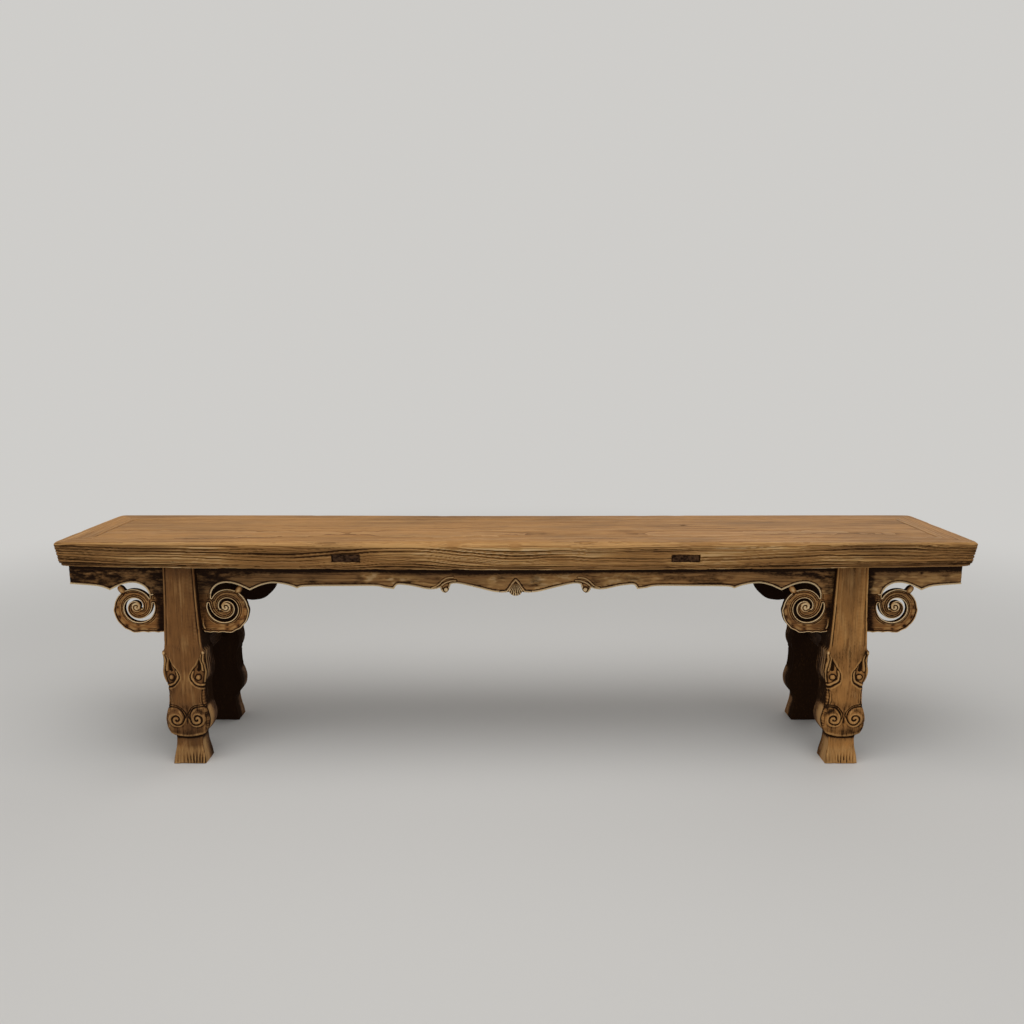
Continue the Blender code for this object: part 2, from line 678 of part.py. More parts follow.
def make_apron():
    right = apron_half_edge()
    left = [(-x, z) for x, z in reversed(right[1:])]
    top = UNDERSIDE - CLEARANCE
    edge = left + right + [(APRON_HALF_LENGTH, top), (-APRON_HALF_LENGTH, top)]
    apron = extruded("apron", [edge], APRON_THICKNESS, FACING_FRONT, (0.0, APRON_MIDDLE_Y, 0.0))
    for end in (-1, 1):
        combine(apron, end_apron_tenon(end, CLEARANCE), "DIFFERENCE")
    return apron


def make_end_apron():
    """The right end apron, between the front and the back apron."""
    outer = APRON_HALF_LENGTH - END_APRON_INSET
    half_y = -APRON_MIDDLE_Y - APRON_THICKNESS / 2 - CLEARANCE
    top = UNDERSIDE - CLEARANCE
    low = (outer - END_APRON_THICKNESS, -half_y, top - END_APRON_HEIGHT)
    end_apron = block("end_apron", low, (outer, half_y, top))
    return combine(end_apron, end_apron_tenon(1, 0.0), "UNION")


# Legs and stretchers

def leg_face_y(height):
    """Front face of a front leg: the leg leans out a little towards the floor."""
    setback = LEG_SETBACK_FOOT + (LEG_SETBACK_TOP - LEG_SETBACK_FOOT) * height / UNDERSIDE
    return -DEPTH / 2 + setback


def leg_outline():
    """Front outline of a leg about its own axis."""
    right = []
    for run in LEG_RUNS:
        right += smooth_run(run)
    shaft_foot = LEG_RUNS[-1][-1]
    top = UNDERSIDE - CLEARANCE
    middle = ((shaft_foot[0] + top) / 2, SHAFT_MID_HALF_WIDTH)
    right += smooth_run((shaft_foot, middle, (top, LEG_TOP_HALF_WIDTH)))
    right.append((top, LEG_TOP_HALF_WIDTH))
    outline = [(half, height) for height, half in right]
    return outline + [(-half, height) for half, height in reversed(outline)]


def leg_side_profile():
    """Side outline of a front leg, from the foot up its front face and down its back face."""
    cuts = smooth_run(ANKLE_CUT) + [ANKLE_CUT[-1], (UNDERSIDE, 0.0)]
    front = [(leg_face_y(height) + cut, height) for height, cut in cuts]
    back = [(leg_face_y(height) + LEG_DEPTH - cut, height) for height, cut in cuts]
    return front + back[::-1]


def stretcher_foot():
    return plate_bottom() - CLEARANCE - STRETCHER_DROP - STRETCHER_HEIGHT


def stretcher_tenon(spare):
    """Both tenons of a stretcher as one bar through it, or the mortises for them."""
    foot = stretcher_foot() + (STRETCHER_HEIGHT - STRETCHER_TENON_HEIGHT) / 2
    half = STRETCHER_TENON_THICKNESS / 2 + spare
    reach = -leg_face_y(foot) - LEG_DEPTH + STRETCHER_TENON_LENGTH + spare
    low = (-half, -reach, foot - spare)
    return block("stretcher_tenon", low, (half, reach, foot + STRETCHER_TENON_HEIGHT + spare))


def make_leg():
    """A front leg about its own axis in X, and at its real place in Y and Z."""
    wide = 4 * LEG_TOP_HALF_WIDTH
    leg = extruded("leg", [leg_outline()], DEPTH, FACING_FRONT, (0.0, -DEPTH / 2, 0.0))
    combine(leg, extruded("leg_side", [leg_side_profile()], wide, FACING_SIDE), "INTERSECT")
    fork_half = APRON_THICKNESS / 2 + CLEARANCE
    fork_low = (-wide, APRON_MIDDLE_Y - fork_half, plate_bottom() - CLEARANCE)
    fork_high = (wide, APRON_MIDDLE_Y + fork_half, HEIGHT)
    combine(leg, leg_tenon(0.0, 0.0), "UNION")
    combine(leg, block("fork", fork_low, fork_high), "DIFFERENCE")
    combine(leg, stretcher_tenon(CLEARANCE), "DIFFERENCE")
    combine(leg, peg_bar(0.0, CLEARANCE), "DIFFERENCE")
    return leg


def make_stretcher():
    foot = stretcher_foot()
    top = foot + STRETCHER_HEIGHT
    foot_y = leg_face_y(foot) + LEG_DEPTH + CLEARANCE
    top_y = leg_face_y(top) + LEG_DEPTH + CLEARANCE
    outline = [(foot_y, foot), (-foot_y, foot), (-top_y, top), (top_y, top)]
    stretcher = extruded("stretcher", [outline], STRETCHER_THICKNESS, FACING_SIDE)
    return combine(stretcher, stretcher_tenon(0.0), "UNION")


# The bench put together

def assemble():
    stile = make_stile()
    end_rail = make_end_rail()
    batten = make_batten()
    apron = make_apron()
    end_apron = make_end_apron()
    leg = make_leg()
    stretcher = make_stretcher()
    peg = peg_bar(0.0, 0.0)
    place("top_panel", make_panel(), "elm_top")
    for depth_word, depth_sign in (("front", -1), ("back", 1)):
        turn = 0.0 if depth_sign < 0 else math.pi
        place(f"top_{depth_word}_stile", stile, "elm_top", turn=turn)
        place(f"{depth_word}_apron", apron, "elm_apron", turn=turn)
        for side_word, side in (("left", -1), ("right", 1)):
            corner = f"{depth_word}_{side_word}"
            axis = (side * LEG_X, 0.0, 0.0)
            scroll_middle = (side * LEG_X, -depth_sign * APRON_MIDDLE_Y, 0.0)
            place(f"{corner}_leg", leg, "elm_leg", axis, turn)
            place(f"{corner}_leg_peg", peg, "elm_peg", axis, turn)
            for kind, reach, way in (("outer", SCROLL_OUTER_REACH, side), ("inner", SCROLL_INNER_REACH, -side)):
                if depth_sign < 0:
                    spandrel = make_scroll_spandrel(f"{kind}_scroll", reach, way)
                else:
                    spandrel = make_plain_spandrel(f"{kind}_board", reach)
                spandrel_turn = 0.0 if way > 0 else math.pi
                place(f"{corner}_{kind}_spandrel", spandrel, "elm_scroll", scroll_middle, spandrel_turn)
    for side_word, side in (("left", -1), ("right", 1)):
        turn = 0.0 if side > 0 else math.pi
        place(f"top_{side_word}_end_rail", end_rail, "elm_top", turn=turn)
        place(f"{side_word}_batten", batten, "elm_inside", turn=turn)
        place(f"{side_word}_end_apron", end_apron, "elm_inside", turn=turn)
        place(f"{side_word}_side_stretcher", stretcher, "elm_inside", (side * LEG_X, 0.0, 0.0))


clear_scene()
parts = make_collection("altar_bench")
cutters = make_collection("altar_bench_cutters")
materials = {name: wood(name) for name in WOODS}
bench = bpy.data.objects.new("altar_bench", None)
parts.objects.link(bench)
assemble()
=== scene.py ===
"""Looks for the altar bench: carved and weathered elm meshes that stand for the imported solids.

Metres, +Z up, the front is -Y. Reliefs are worked out in millimetres and scaled when a mesh is made.
"""

import math
from functools import partial

import bmesh
import bpy
import numpy as np
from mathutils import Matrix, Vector
from mathutils.geometry import delaunay_2d_cdt
from mathutils.kdtree import KDTree


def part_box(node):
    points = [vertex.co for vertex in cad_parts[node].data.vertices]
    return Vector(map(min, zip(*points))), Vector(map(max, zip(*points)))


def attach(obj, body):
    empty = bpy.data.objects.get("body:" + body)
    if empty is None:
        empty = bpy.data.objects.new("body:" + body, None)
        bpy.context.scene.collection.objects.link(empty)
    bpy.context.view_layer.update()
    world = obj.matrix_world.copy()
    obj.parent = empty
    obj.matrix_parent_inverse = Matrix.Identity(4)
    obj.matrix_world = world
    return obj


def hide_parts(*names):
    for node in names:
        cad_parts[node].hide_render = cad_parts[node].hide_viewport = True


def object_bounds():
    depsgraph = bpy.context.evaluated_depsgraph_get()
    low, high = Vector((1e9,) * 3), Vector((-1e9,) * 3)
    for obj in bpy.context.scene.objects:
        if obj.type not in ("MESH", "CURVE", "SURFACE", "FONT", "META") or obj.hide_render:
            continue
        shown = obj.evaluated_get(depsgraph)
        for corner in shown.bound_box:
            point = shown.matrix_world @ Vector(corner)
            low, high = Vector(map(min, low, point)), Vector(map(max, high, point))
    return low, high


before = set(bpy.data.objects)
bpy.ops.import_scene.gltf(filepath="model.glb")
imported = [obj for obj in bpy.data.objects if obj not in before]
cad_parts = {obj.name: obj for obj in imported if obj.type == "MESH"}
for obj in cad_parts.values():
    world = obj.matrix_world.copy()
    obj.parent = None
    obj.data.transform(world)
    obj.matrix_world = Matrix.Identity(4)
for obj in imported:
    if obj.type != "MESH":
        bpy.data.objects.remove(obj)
cad_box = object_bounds()
scene = bpy.context.scene

MM = 0.001
HALF_LENGTH = cad_box[1].x
HALF_DEPTH = cad_box[1].y
TOP_Z = cad_box[1].z
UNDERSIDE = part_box("top_left_end_rail")[0].z
FRAME_WIDTH = HALF_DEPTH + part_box("top_front_stile")[1].y
LEG_X = (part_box("front_right_leg")[0].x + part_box("front_right_leg")[1].x) / 2

# Photograph's camera: focal length in pixels of a 1024 pixel frame, place, and tilt down
FOCAL_PIXELS = 849.3
FRAME_PIXELS = 1024
SENSOR_MM = 36.0
CAMERA_PLACE = (-0.0085, -2.0482, 0.9517)
CAMERA_TILT = 0.17765

# Moulded edge of the top, as in the solids
ARRIS_RADIUS = 0.007
ARRIS_WEAR = 0.011
STILE_SAG = 0.009
STILE_OVERCUT = 0.010
LIP_WIDTH = 0.030
EDGE_LEAN = 0.005
FOOT_WIDTH = 0.016
FOOT_HEIGHT = 0.018
BATTEN_TENON_RISE = 0.0015
BATTEN_TENON_HEIGHT = 0.018

# Finer forms of the top: a small lip along the foot of its edge, and eased corners in plan
LIP_HEIGHT = 0.0050
LIP_UNDERCUT = 0.35
LIP_SHADOW_DROP = 0.0067
CORNER_EASE = 0.0042
CORNER_EASE_WIDTH = 0.030
CORNER_EASE_RUN = 0.017
MITRE_ZONE = 0.12
PANEL_CHAMFER = 0.0009
PANEL_GAP = 0.0004
PANEL_RIM = 0.0008
MORTISE_SPARE = 0.0004
MORTISE_DEPTH = 0.012

# Rows and columns of the meshes of the top
FACE_ROWS = 46
STILE_COLUMNS = 881
RAIL_COLUMNS = 161
PANEL_COLUMNS = 421
PANEL_ROWS = 97

# Scroll spandrels, as in the solids
SCROLL_Z = 0.380
SCROLL_REACH = {"inner": 0.099, "outer": 0.110}
SPIRAL_END_TURN = 5.2
SCROLL_THICKNESS = 0.011
SCROLL_THIN_FROM = 0.044
KNOB_TURN = -0.42
KNOB_RADIUS = 0.0539
KNOB_HALF_LENGTH = 0.0097
KNOB_HALF_WIDTH = 0.0066

# Legs, as in the solids
LEG_LEAN = 0.012
LEG_DEPTH = 0.060
FORK_SPARE = 0.0003

# Points of carved faces: rows at these distances in from an edge, then a grid with these steps in X and Z
BOARD_RINGS = tuple(step * MM for step in (0.45, 1.0, 1.7, 2.4, 3.2, 4.1, 5.2))
LEG_RINGS = tuple(step * MM for step in (0.5, 1.1, 1.9, 2.9, 4.2, 5.4, 6.6))
APRON_GRID = (0.0030, 0.0022)
SCROLL_GRID = (0.0015, 0.0013)
PLAIN_GRID = (0.0030, 0.0026)
REAR_GRID = (0.006, 0.009)
LEG_CARVED_GRID = (0.0017, 0.0015)
LEG_SHAFT_GRID = (0.0034, 0.0042)
LEG_SHAFT_FROM = 0.292
LEG_REAR_GRID = (0.006, 0.006)
OUTLINE_STEP = 0.0014
CLOSE_STEP = 0.0005
RIM_STEP = 0.0004

# Close points for small carving, and where it lies on the aprons: the fan and the two curls
FINE_STEP = 0.0010
FINE_AREAS = ((-0.030, 0.030, 0.418, 0.449), (-0.200, -0.112, 0.420, 0.456), (0.112, 0.200, 0.420, 0.456))

# Painted shading by shape: rounds of smoothing, residue and painted shade in hollows, wear and painted
# highlights on what stands out
BOARD_SHADING = (14, 0.45, 0.22)
LEG_SHADING = (8, 0.40, 0.14)

# How far behind a carved face its cut edges turn dark with painted shade
SHADED_STEP = 0.0016

BACKGROUND = (0.62, 0.61, 0.59, 1.0)


# Numbers

def smoothstep(low, high, value):
    t = np.clip((value - low) / (high - low), 0.0, 1.0)
    return t * t * (3.0 - 2.0 * t)


def window(low, full, after, end, value):
    """0 up to low, 1 from full to after, and 0 again from end on."""
    return smoothstep(low, full, value) * smoothstep(end, after, value)


def bump(distance, width):
    """1 on a line, falling to 0 away from it."""
    return np.exp(-(distance / width) ** 2)


def dome(away, radius=1.0):
    """Height of a half ball, 1 in its middle."""
    return np.sqrt(np.maximum(1.0 - (away / radius) ** 2, 0.0))


def lattice(column, row, seed):
    mixed = (column * 374761393 + row * 668265263 + seed * 974711) & 0xFFFFFFFF
    mixed = ((mixed ^ (mixed >> 13)) * 1274126177) & 0xFFFFFFFF
    return ((mixed ^ (mixed >> 16)) & 0xFFFF) / 65535.0


def noise(across, along, seed):
    """Smooth values from 0 to 1 that change over about one unit."""
    across, along = np.broadcast_arrays(np.asarray(across, float), np.asarray(along, float))
    column = np.floor(across).astype(np.int64)
    row = np.floor(along).astype(np.int64)
    u = across - column
    v = along - row
    u = u * u * (3.0 - 2.0 * u)
    v = v * v * (3.0 - 2.0 * v)
    near = lattice(column, row, seed) * (1 - u) + lattice(column + 1, row, seed) * u
    far = lattice(column, row + 1, seed) * (1 - u) + lattice(column + 1, row + 1, seed) * u
    return near * (1 - v) + far * v


def fractal(across, along, seed, octaves=3):
    total = 0.0
    for octave in range(octaves):
        total = total + noise(across * 2 ** octave, along * 2 ** octave, seed + octave) / 2 ** octave
    return total / (2.0 - 2.0 ** (1 - octaves))


# Outlines and flat fillings

def outline_loops(node, facing):
    """Closed outlines in X and Z of a node's front (-1) or back (1) side, with wood on their left."""
    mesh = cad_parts[node].data
    place = [(round(v.co.x, 5), round(v.co.z, 5)) for v in mesh.vertices]
    after = {}
    for polygon in mesh.polygons:
        if polygon.normal.y * facing < 0.7:
            continue
        corners = [place[index] for index in polygon.vertices]
        if facing > 0:
            corners.reverse()
        for start, end in zip(corners, corners[1:] + corners[:1]):
            if not after.pop((end, start), False):
                after[start, end] = True
    following = {start: end for start, end in after}
    loops = []
    while following:
        start, point = next(iter(following.items()))
        loop = [start]
        del following[start]
        while point in following:
            loop.append(point)
            point = following.pop(point)
        loops.append(np.array(loop))
    return sorted(loops, key=lambda loop: -np.ptp(loop[:, 0]) * np.ptp(loop[:, 1]))


def hermite_run(start, end, start_way, end_way, count):
    """Points from start towards end, without the end, on a smooth curve."""
    t = (np.arange(count) / count)[:, None]
    length = np.linalg.norm(end - start)
    rise = t * t * (3 - 2 * t)
    return (start * (1 - rise) + end * rise
            + length * start_way * (t - 2 * t * t + t ** 3) + length * end_way * (t ** 3 - t * t))


def resampled(points, spacing, closed=True, corner=0.55):
    """The same outline with even, closer points, rounded except at sharp corners."""
    count = len(points)
    steps = np.roll(points, -1, axis=0) - points
    ways = steps / np.linalg.norm(steps, axis=1)[:, None]
    before = np.roll(ways, 1, axis=0)
    if not closed:
        before[0] = ways[0]
        ways[-1] = before[-1]
    turn = np.arccos(np.clip((ways * before).sum(axis=1), -1, 1))
    middle = ways + before
    middle /= np.maximum(np.linalg.norm(middle, axis=1), 1e-9)[:, None]
    leaving = np.where(turn[:, None] > corner, ways, middle)
    arriving = np.where(turn[:, None] > corner, before, middle)
    found = []
    for index in range(count if closed else count - 1):
        following = (index + 1) % count
        pieces = max(1, round(np.linalg.norm(steps[index]) / spacing))
        ways_there = (leaving[index], arriving[following])
        found.append(hermite_run(points[index], points[following], *ways_there, pieces))
    if not closed:
        found.append(points[-1:])
    return np.vstack(found)


def line(*points, step=0.4):
    """Close points along a smooth open line given in millimetres, in metres."""
    return resampled(np.array(points, float), step, closed=False, corner=9.0) * MM


def near_tree(samples):
    tree = KDTree(len(samples))
    for index, (across, up) in enumerate(samples):
        tree.insert((across, up, 0.0), index)
    tree.balance()
    return tree


def distances(points, samples):
    """How far each point lies from the nearest sample, in millimetres."""
    tree = near_tree(samples)
    return np.array([tree.find((across, up, 0.0))[2] for across, up in points]) / MM


def inward(loop):
    ahead = np.roll(loop, -1, axis=0) - np.roll(loop, 1, axis=0)
    ahead /= np.maximum(np.linalg.norm(ahead, axis=1), 1e-9)[:, None]
    return np.column_stack((-ahead[:, 1], ahead[:, 0]))


def spread(points, spacing):
    """The points less those that share a small cell with another."""
    cells = np.round(points / spacing).astype(np.int64)
    _, first = np.unique(cells, axis=0, return_index=True)
    return points[np.sort(first)]


def inside_points(loops, rings, spacing, fine=()):
    """Points in rows along the outlines and then in a staggered grid: spacing gives its X and Z steps at a Z.

    fine lists areas (X from, X to, Z from, Z to) that get closer points.
    """
    close = [resampled(loop, CLOSE_STEP, corner=-1.0) for loop in loops]
    samples = np.vstack(close)
    normals = np.vstack([inward(loop) for loop in close])
    tree = near_tree(samples)

    def depth(points):
        found = []
        for across, up in points:
            _, index, distance = tree.find((across, up, 0.0))
            way = normals[index]
            side = (across - samples[index][0]) * way[0] + (up - samples[index][1]) * way[1]
            found.append(distance if side > 0 else -distance)
        return np.array(found)

    kept = []
    for ring in rings:
        row = np.vstack([loop + ring * inward(loop) for loop in loops])
        row = row[depth(row) > 0.93 * ring]
        kept.append(spread(row, 0.0007))
    low = loops[0].min(axis=0)
    high = loops[0].max(axis=0)
    grid = []
    up = low[1]
    odd = False
    while up < high[1]:
        step_x, step_z = spacing(up)
        across = np.arange(low[0] + (step_x / 2 if odd else 0.0), high[0], step_x)
        grid.append(np.column_stack((across, np.full(len(across), up))))
        up += step_z
        odd = not odd
    for x_from, x_to, z_from, z_to in fine:
        across, up = np.meshgrid(np.arange(x_from, x_to, FINE_STEP), np.arange(z_from, z_to, FINE_STEP))
        grid.append(np.column_stack((across.ravel(), up.ravel())))
    grid = np.vstack(grid)
    margin = (rings[-1] if len(rings) else 0.0) + 0.0011
    kept.append(grid[depth(grid) > margin])
    return np.vstack(kept)


def within(points, loop):
    """Which points lie inside a closed loop."""
    hit = np.zeros(len(points), bool)
    for start, end in zip(loop, np.roll(loop, -1, axis=0)):
        crosses = (start[1] > points[:, 1]) != (end[1] > points[:, 1])
        rise = end[1] - start[1] if end[1] != start[1] else 1e-12
        at = start[0] + (points[:, 1] - start[1]) * (end[0] - start[0]) / rise
        hit ^= crosses & (points[:, 0] < at)
    return hit


def fill(loops, inside):
    """Points, triangles and rim indices of the area between the first outline and the holes after it."""
    points = np.vstack([*loops, inside])
    rims = []
    edges = []
    start = 0
    for loop in loops:
        rim = np.arange(start, start + len(loop))
        edges += zip(rim.tolist(), np.roll(rim, -1).tolist())
        rims.append(rim)
        start += len(loop)
    _, _, faces, origin, _, _ = delaunay_2d_cdt([Vector(p) for p in points], edges, [], 1, 1e-7)
    triangles = np.array([[origin[index][0] for index in face] for face in faces])
    middles = points[triangles].mean(axis=1)
    for hole in loops[1:]:
        outside = ~within(middles, hole)
        triangles = triangles[outside]
        middles = middles[outside]
    return points, triangles, rims


# Making pieces

def make_piece(name, points, faces, material, node, dark, pale, sharp=50):
    """A closed mesh with its dark values (residue, painted shade) and pale values (wear, painted highlights),
    standing for a node.
    """
    mesh = bpy.data.meshes.new(name)
    mesh.from_pydata(np.asarray(points).tolist(), [], faces)
    for key, values in (("dark", dark), ("pale", pale)):
        wear_and_highlight = mesh.attributes.new(key, "FLOAT", "POINT")
        wear_and_highlight.data.foreach_set("value", np.clip(values, 0.0, 1.0).astype(np.float32))
    shape = bmesh.new()
    shape.from_mesh(mesh)
    loose = [vertex for vertex in shape.verts if not vertex.link_faces]
    bmesh.ops.delete(shape, geom=loose, context="VERTS")
    bmesh.ops.recalc_face_normals(shape, faces=shape.faces)
    shape.to_mesh(mesh)
    shape.free()
    mesh.materials.append(material)
    mesh.shade_smooth()
    mesh.set_sharp_from_angle(angle=math.radians(sharp))
    piece = bpy.data.objects.new(name, mesh)
    scene.collection.objects.link(piece)
    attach(piece, "root")
    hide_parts(node)
    return piece


def smoothed(values, triangles, rounds):
    """Values averaged over mesh neighbours, round after round."""
    pairs = np.vstack((triangles[:, (0, 1)], triangles[:, (1, 2)], triangles[:, (2, 0)]))
    pairs = np.vstack((pairs, pairs[:, ::-1]))
    count = np.maximum(np.bincount(pairs[:, 0], minlength=len(values)), 1)
    for _ in range(rounds):
        values = np.bincount(pairs[:, 0], weights=values[pairs[:, 1]], minlength=len(values)) / count
    return values


class Carving:
    """A face being carved: heights in millimetres, dark from residue and painted shade, pale from wear and
    painted highlights.
    """

    def __init__(self, height, dark, pale):
        self.height = height
        self.dark = dark
        self.pale = pale

    # Darkening stands for residue and for painted shade; lightening for wear and for painted highlights.
    def darken(self, amount, keep=1.0):
        self.dark = np.maximum(self.dark * keep, amount)

    def lighten(self, amount, keep=1.0):
        self.pale = np.maximum(self.pale * keep, amount)

    def level(self, share, height):
        """Takes the face to a height, by a share from 0 to 1."""
        self.height = self.height * (1 - share) + share * height

    def shade(self, triangles, rounds, darken, wear_and_highlight):
        """Darkens the face below its surroundings with residue and painted shade, and lightens it above them
        with wear and painted highlights.
        """
        raised = self.height - smoothed(self.height, triangles, rounds)
        below = smoothstep(0.10, 1.1, -raised)
        above = smoothstep(0.10, 0.8, raised)
        self.dark = np.clip(self.dark + darken * below - 0.35 * above, 0.0, 1.0)
        self.pale = np.clip(self.pale + wear_and_highlight * above - 0.30 * below, 0.0, 1.0)


def wall(front, back):
    """Faces between two closed rows of indices."""
    return [tuple(four) for four in zip(front, np.roll(front, -1), np.roll(back, -1), back)]


def carved_board(node, facing, relief, rings, grid, material, adjust=None, thin=None, fine=()):
    """A board cut to the node's outline with a relief on the side that faces out.

    adjust changes an outline, and thin tells which points of the back lie forward.
    """
    loops = [resampled(loop, OUTLINE_STEP) for loop in outline_loops(node, facing)]
    if adjust:
        loops = [adjust(loop) for loop in loops]
    low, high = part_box(node)
    outer = low.y if facing < 0 else high.y
    inner = high.y if facing < 0 else low.y
    points, triangles, rims = fill(loops, inside_points(loops, rings, lambda up: grid, fine))
    face = relief(points, loops)
    face.shade(triangles, *BOARD_SHADING)
    front = np.column_stack((points[:, 0], outer + facing * face.height * MM, points[:, 1]))
    plain, plain_triangles, plain_rims = fill(loops, inside_points(loops, (), lambda up: REAR_GRID))
    rear = np.full(len(plain), inner)
    if thin:
        rear[thin(plain)] = outer - facing * SCROLL_THICKNESS
    back = np.column_stack((plain[:, 0], rear, plain[:, 1]))
    start = len(front)
    faces = triangles.tolist() + (plain_triangles + start).tolist()
    verts = [front, back]
    following = start + len(back)
    for rim, plain_rim in zip(rims, plain_rims):
        shaded = front[rim].copy()
        shaded[:, 1] -= facing * SHADED_STEP
        row = np.arange(following, following + len(rim))
        faces += wall(rim, row) + wall(row, plain_rim + start)
        verts.append(shaded)
        following += len(rim)
    verts = np.vstack(verts)
    # Painted shade on the cut edges and on the back.
    hidden = len(verts) - len(front)
    dark = np.concatenate((face.dark, np.full(hidden, 0.92)))
    pale = np.concatenate((face.pale, np.zeros(hidden)))
    return make_piece(node + "_carved", verts, faces, material, node, dark, pale)


# Wood

def tone(red, green, blue):
    """Linear colour of a display colour given from 0 to 255."""
    found = []
    for value in (red, green, blue):
        share = value / 255.0
        found.append(share / 12.92 if share <= 0.04045 else ((share + 0.055) / 1.055) ** 2.4)
    return (*found, 1.0)


def add(tree, kind, inputs=None, **settings):
    """A new shader node. inputs gives values, or sockets to link, by name or number."""
    made = tree.nodes.new("ShaderNode" + kind)
    for key, value in settings.items():
        setattr(made, key, value)
    for key, value in (inputs or {}).items():
        if isinstance(value, bpy.types.NodeSocket):
            tree.links.new(value, made.inputs[key])
        else:
            made.inputs[key].default_value = value
    return made


def ramp(tree, value, stops):
    made = add(tree, "ValToRGB", {"Fac": value})
    elements = made.color_ramp.elements
    while len(elements) < len(stops):
        elements.new(0.5)
    for element, (position, colour) in zip(elements, stops):
        element.position = position
        element.color = colour
    return made.outputs["Color"]


def grey(value):
    return (value, value, value, 1.0)


def mix(tree, amount, first, second, blend="MIX"):
    made = add(tree, "Mix", {0: amount, 6: first, 7: second}, data_type="RGBA", blend_type=blend)
    return made.outputs[2]


def maths(tree, operation, first, second):
    made = add(tree, "Math", {0: first, 1: second}, operation=operation, use_clamp=True)
    return made.outputs[0]


def stretched(tree, place, along, slow, fast):
    """The place scaled so that a texture is drawn out along the grain."""
    scale = [fast, fast, fast]
    scale["XYZ".index(along)] = slow
    return add(tree, "Mapping", {"Vector": place, "Scale": scale}).outputs["Vector"]


# Gold and cream for wear, the cream also a painted highlight; SHADE is the painted shade that dark values
# multiply in.
GOLD = tone(204, 158, 98)
CREAM = tone(240, 212, 166)
SHADE = (0.44, 0.40, 0.36, 1.0)


def elm(name, along, tones, residue_and_shade_colour, pith, rings_share=0.38, blotchy=1.0, gloss=0.52):
    """Old elm with its grain along one axis, dark residue and painted shade, and pale wear and painted
    highlights, from the mesh's own values.

    tones are the display colours of its lines, its body and its lightest wood.
    """
    line_tone, mid_tone, light_tone = (tone(*colour) for colour in tones)
    material = bpy.data.materials.new(name)
    material.use_nodes = True
    tree = material.node_tree
    shader = tree.nodes["Principled BSDF"]
    place = add(tree, "TexCoord").outputs["Object"]

    def texture(vector, slow, fast, detail, roughness=0.5, output="Fac"):
        settings = {"Vector": stretched(tree, vector, along, slow, fast), "Scale": 1.0, "Detail": detail,
                    "Roughness": roughness}
        return add(tree, "TexNoise", settings).outputs[output]

    drift = texture(place, 1.6, 5.0, 2.0, output="Color")
    bent = add(tree, "VectorMath", {0: drift, 1: (0.035, 0.035, 0.035), 2: place},
               operation="MULTIPLY_ADD").outputs["Vector"]
    fibre = texture(bent, 4.0, 190.0, 6.0, 0.62)
    broad = texture(bent, 2.0, 42.0, 3.0)
    pores = texture(bent, 30.0, 900.0, 2.0)
    blotch = texture(place, 3.0, 11.0, 4.0, 0.6)
    speck = texture(place, 150.0, 420.0, 4.0, 0.65)
    centred = add(tree, "Mapping", {"Vector": bent, "Location": pith}).outputs["Vector"]
    rings = add(tree, "TexWave", {"Vector": centred, "Scale": 34.0, "Distortion": 3.0,
                                            "Detail": 2.0, "Detail Scale": 0.6},
                wave_type="RINGS", rings_direction=along, wave_profile="SAW").outputs["Fac"]
    figure = mix(tree, rings_share, fibre, rings)
    figure = mix(tree, 0.30, figure, broad)
    colour = ramp(tree, figure, ((0.30, line_tone), (0.43, mid_tone), (0.56, mid_tone), (0.74, light_tone)))
    pore_shade = ramp(tree, pores, ((0.34, grey(0.52)), (0.46, grey(1.0))))
    colour = mix(tree, 0.75, colour, pore_shade, "MULTIPLY")
    blotch_stops = ((0.28, grey(1 - 0.38 * blotchy)), (0.52, grey(0.98)), (0.75, grey(1 + 0.16 * blotchy)))
    colour = mix(tree, 1.0, colour, ramp(tree, blotch, blotch_stops), "MULTIPLY")
    dark = add(tree, "Attribute", attribute_name="dark").outputs["Fac"]
    pale = add(tree, "Attribute", attribute_name="pale").outputs["Fac"]
    broken_pale = maths(tree, "ADD", maths(tree, "MULTIPLY", pale, 0.5), maths(tree, "MULTIPLY", fibre, 0.40))
    # Pale values bring wear and painted highlights, the cream end mostly a painted highlight on beads and
    # lips.
    wear_and_highlight_share = ramp(tree, broken_pale, ((0.26, grey(0.0)), (0.52, grey(1.0))))
    worn = ramp(tree, pale, ((0.50, GOLD), (0.95, CREAM)))
    colour = mix(tree, wear_and_highlight_share, colour, worn)
    # Dark values bring residue and painted shade: first a smooth painted darkening, then the residue colour.
    colour = mix(tree, 1.0, colour, ramp(tree, dark, ((0.0, grey(1.0)), (0.75, SHADE))), "MULTIPLY")
    broken_dark = maths(tree, "ADD", maths(tree, "MULTIPLY", dark, 0.5), maths(tree, "MULTIPLY", speck, 0.45))
    dark_share = ramp(tree, broken_dark, ((0.42, grey(0.0)), (0.62, grey(0.95))))
    colour = mix(tree, dark_share, colour, residue_and_shade_colour)
    tree.links.new(colour, shader.inputs["Base Color"])
    rough = ramp(tree, figure, ((0.3, grey(min(gloss + 0.22, 1.0))), (0.7, grey(gloss))))
    rough = mix(tree, dark_share, rough, grey(0.86))
    tree.links.new(rough, shader.inputs["Roughness"])
    sheen = maths(tree, "MULTIPLY", maths(tree, "SUBTRACT", 1.0, dark_share), 0.22)
    tree.links.new(sheen, shader.inputs["Specular IOR Level"])
    height = mix(tree, 0.45, figure, pores)
    relief = add(tree, "Bump", {"Height": height, "Strength": 0.45, "Distance": 0.0009})
    tree.links.new(relief.outputs["Normal"], shader.inputs["Normal"])
    return material
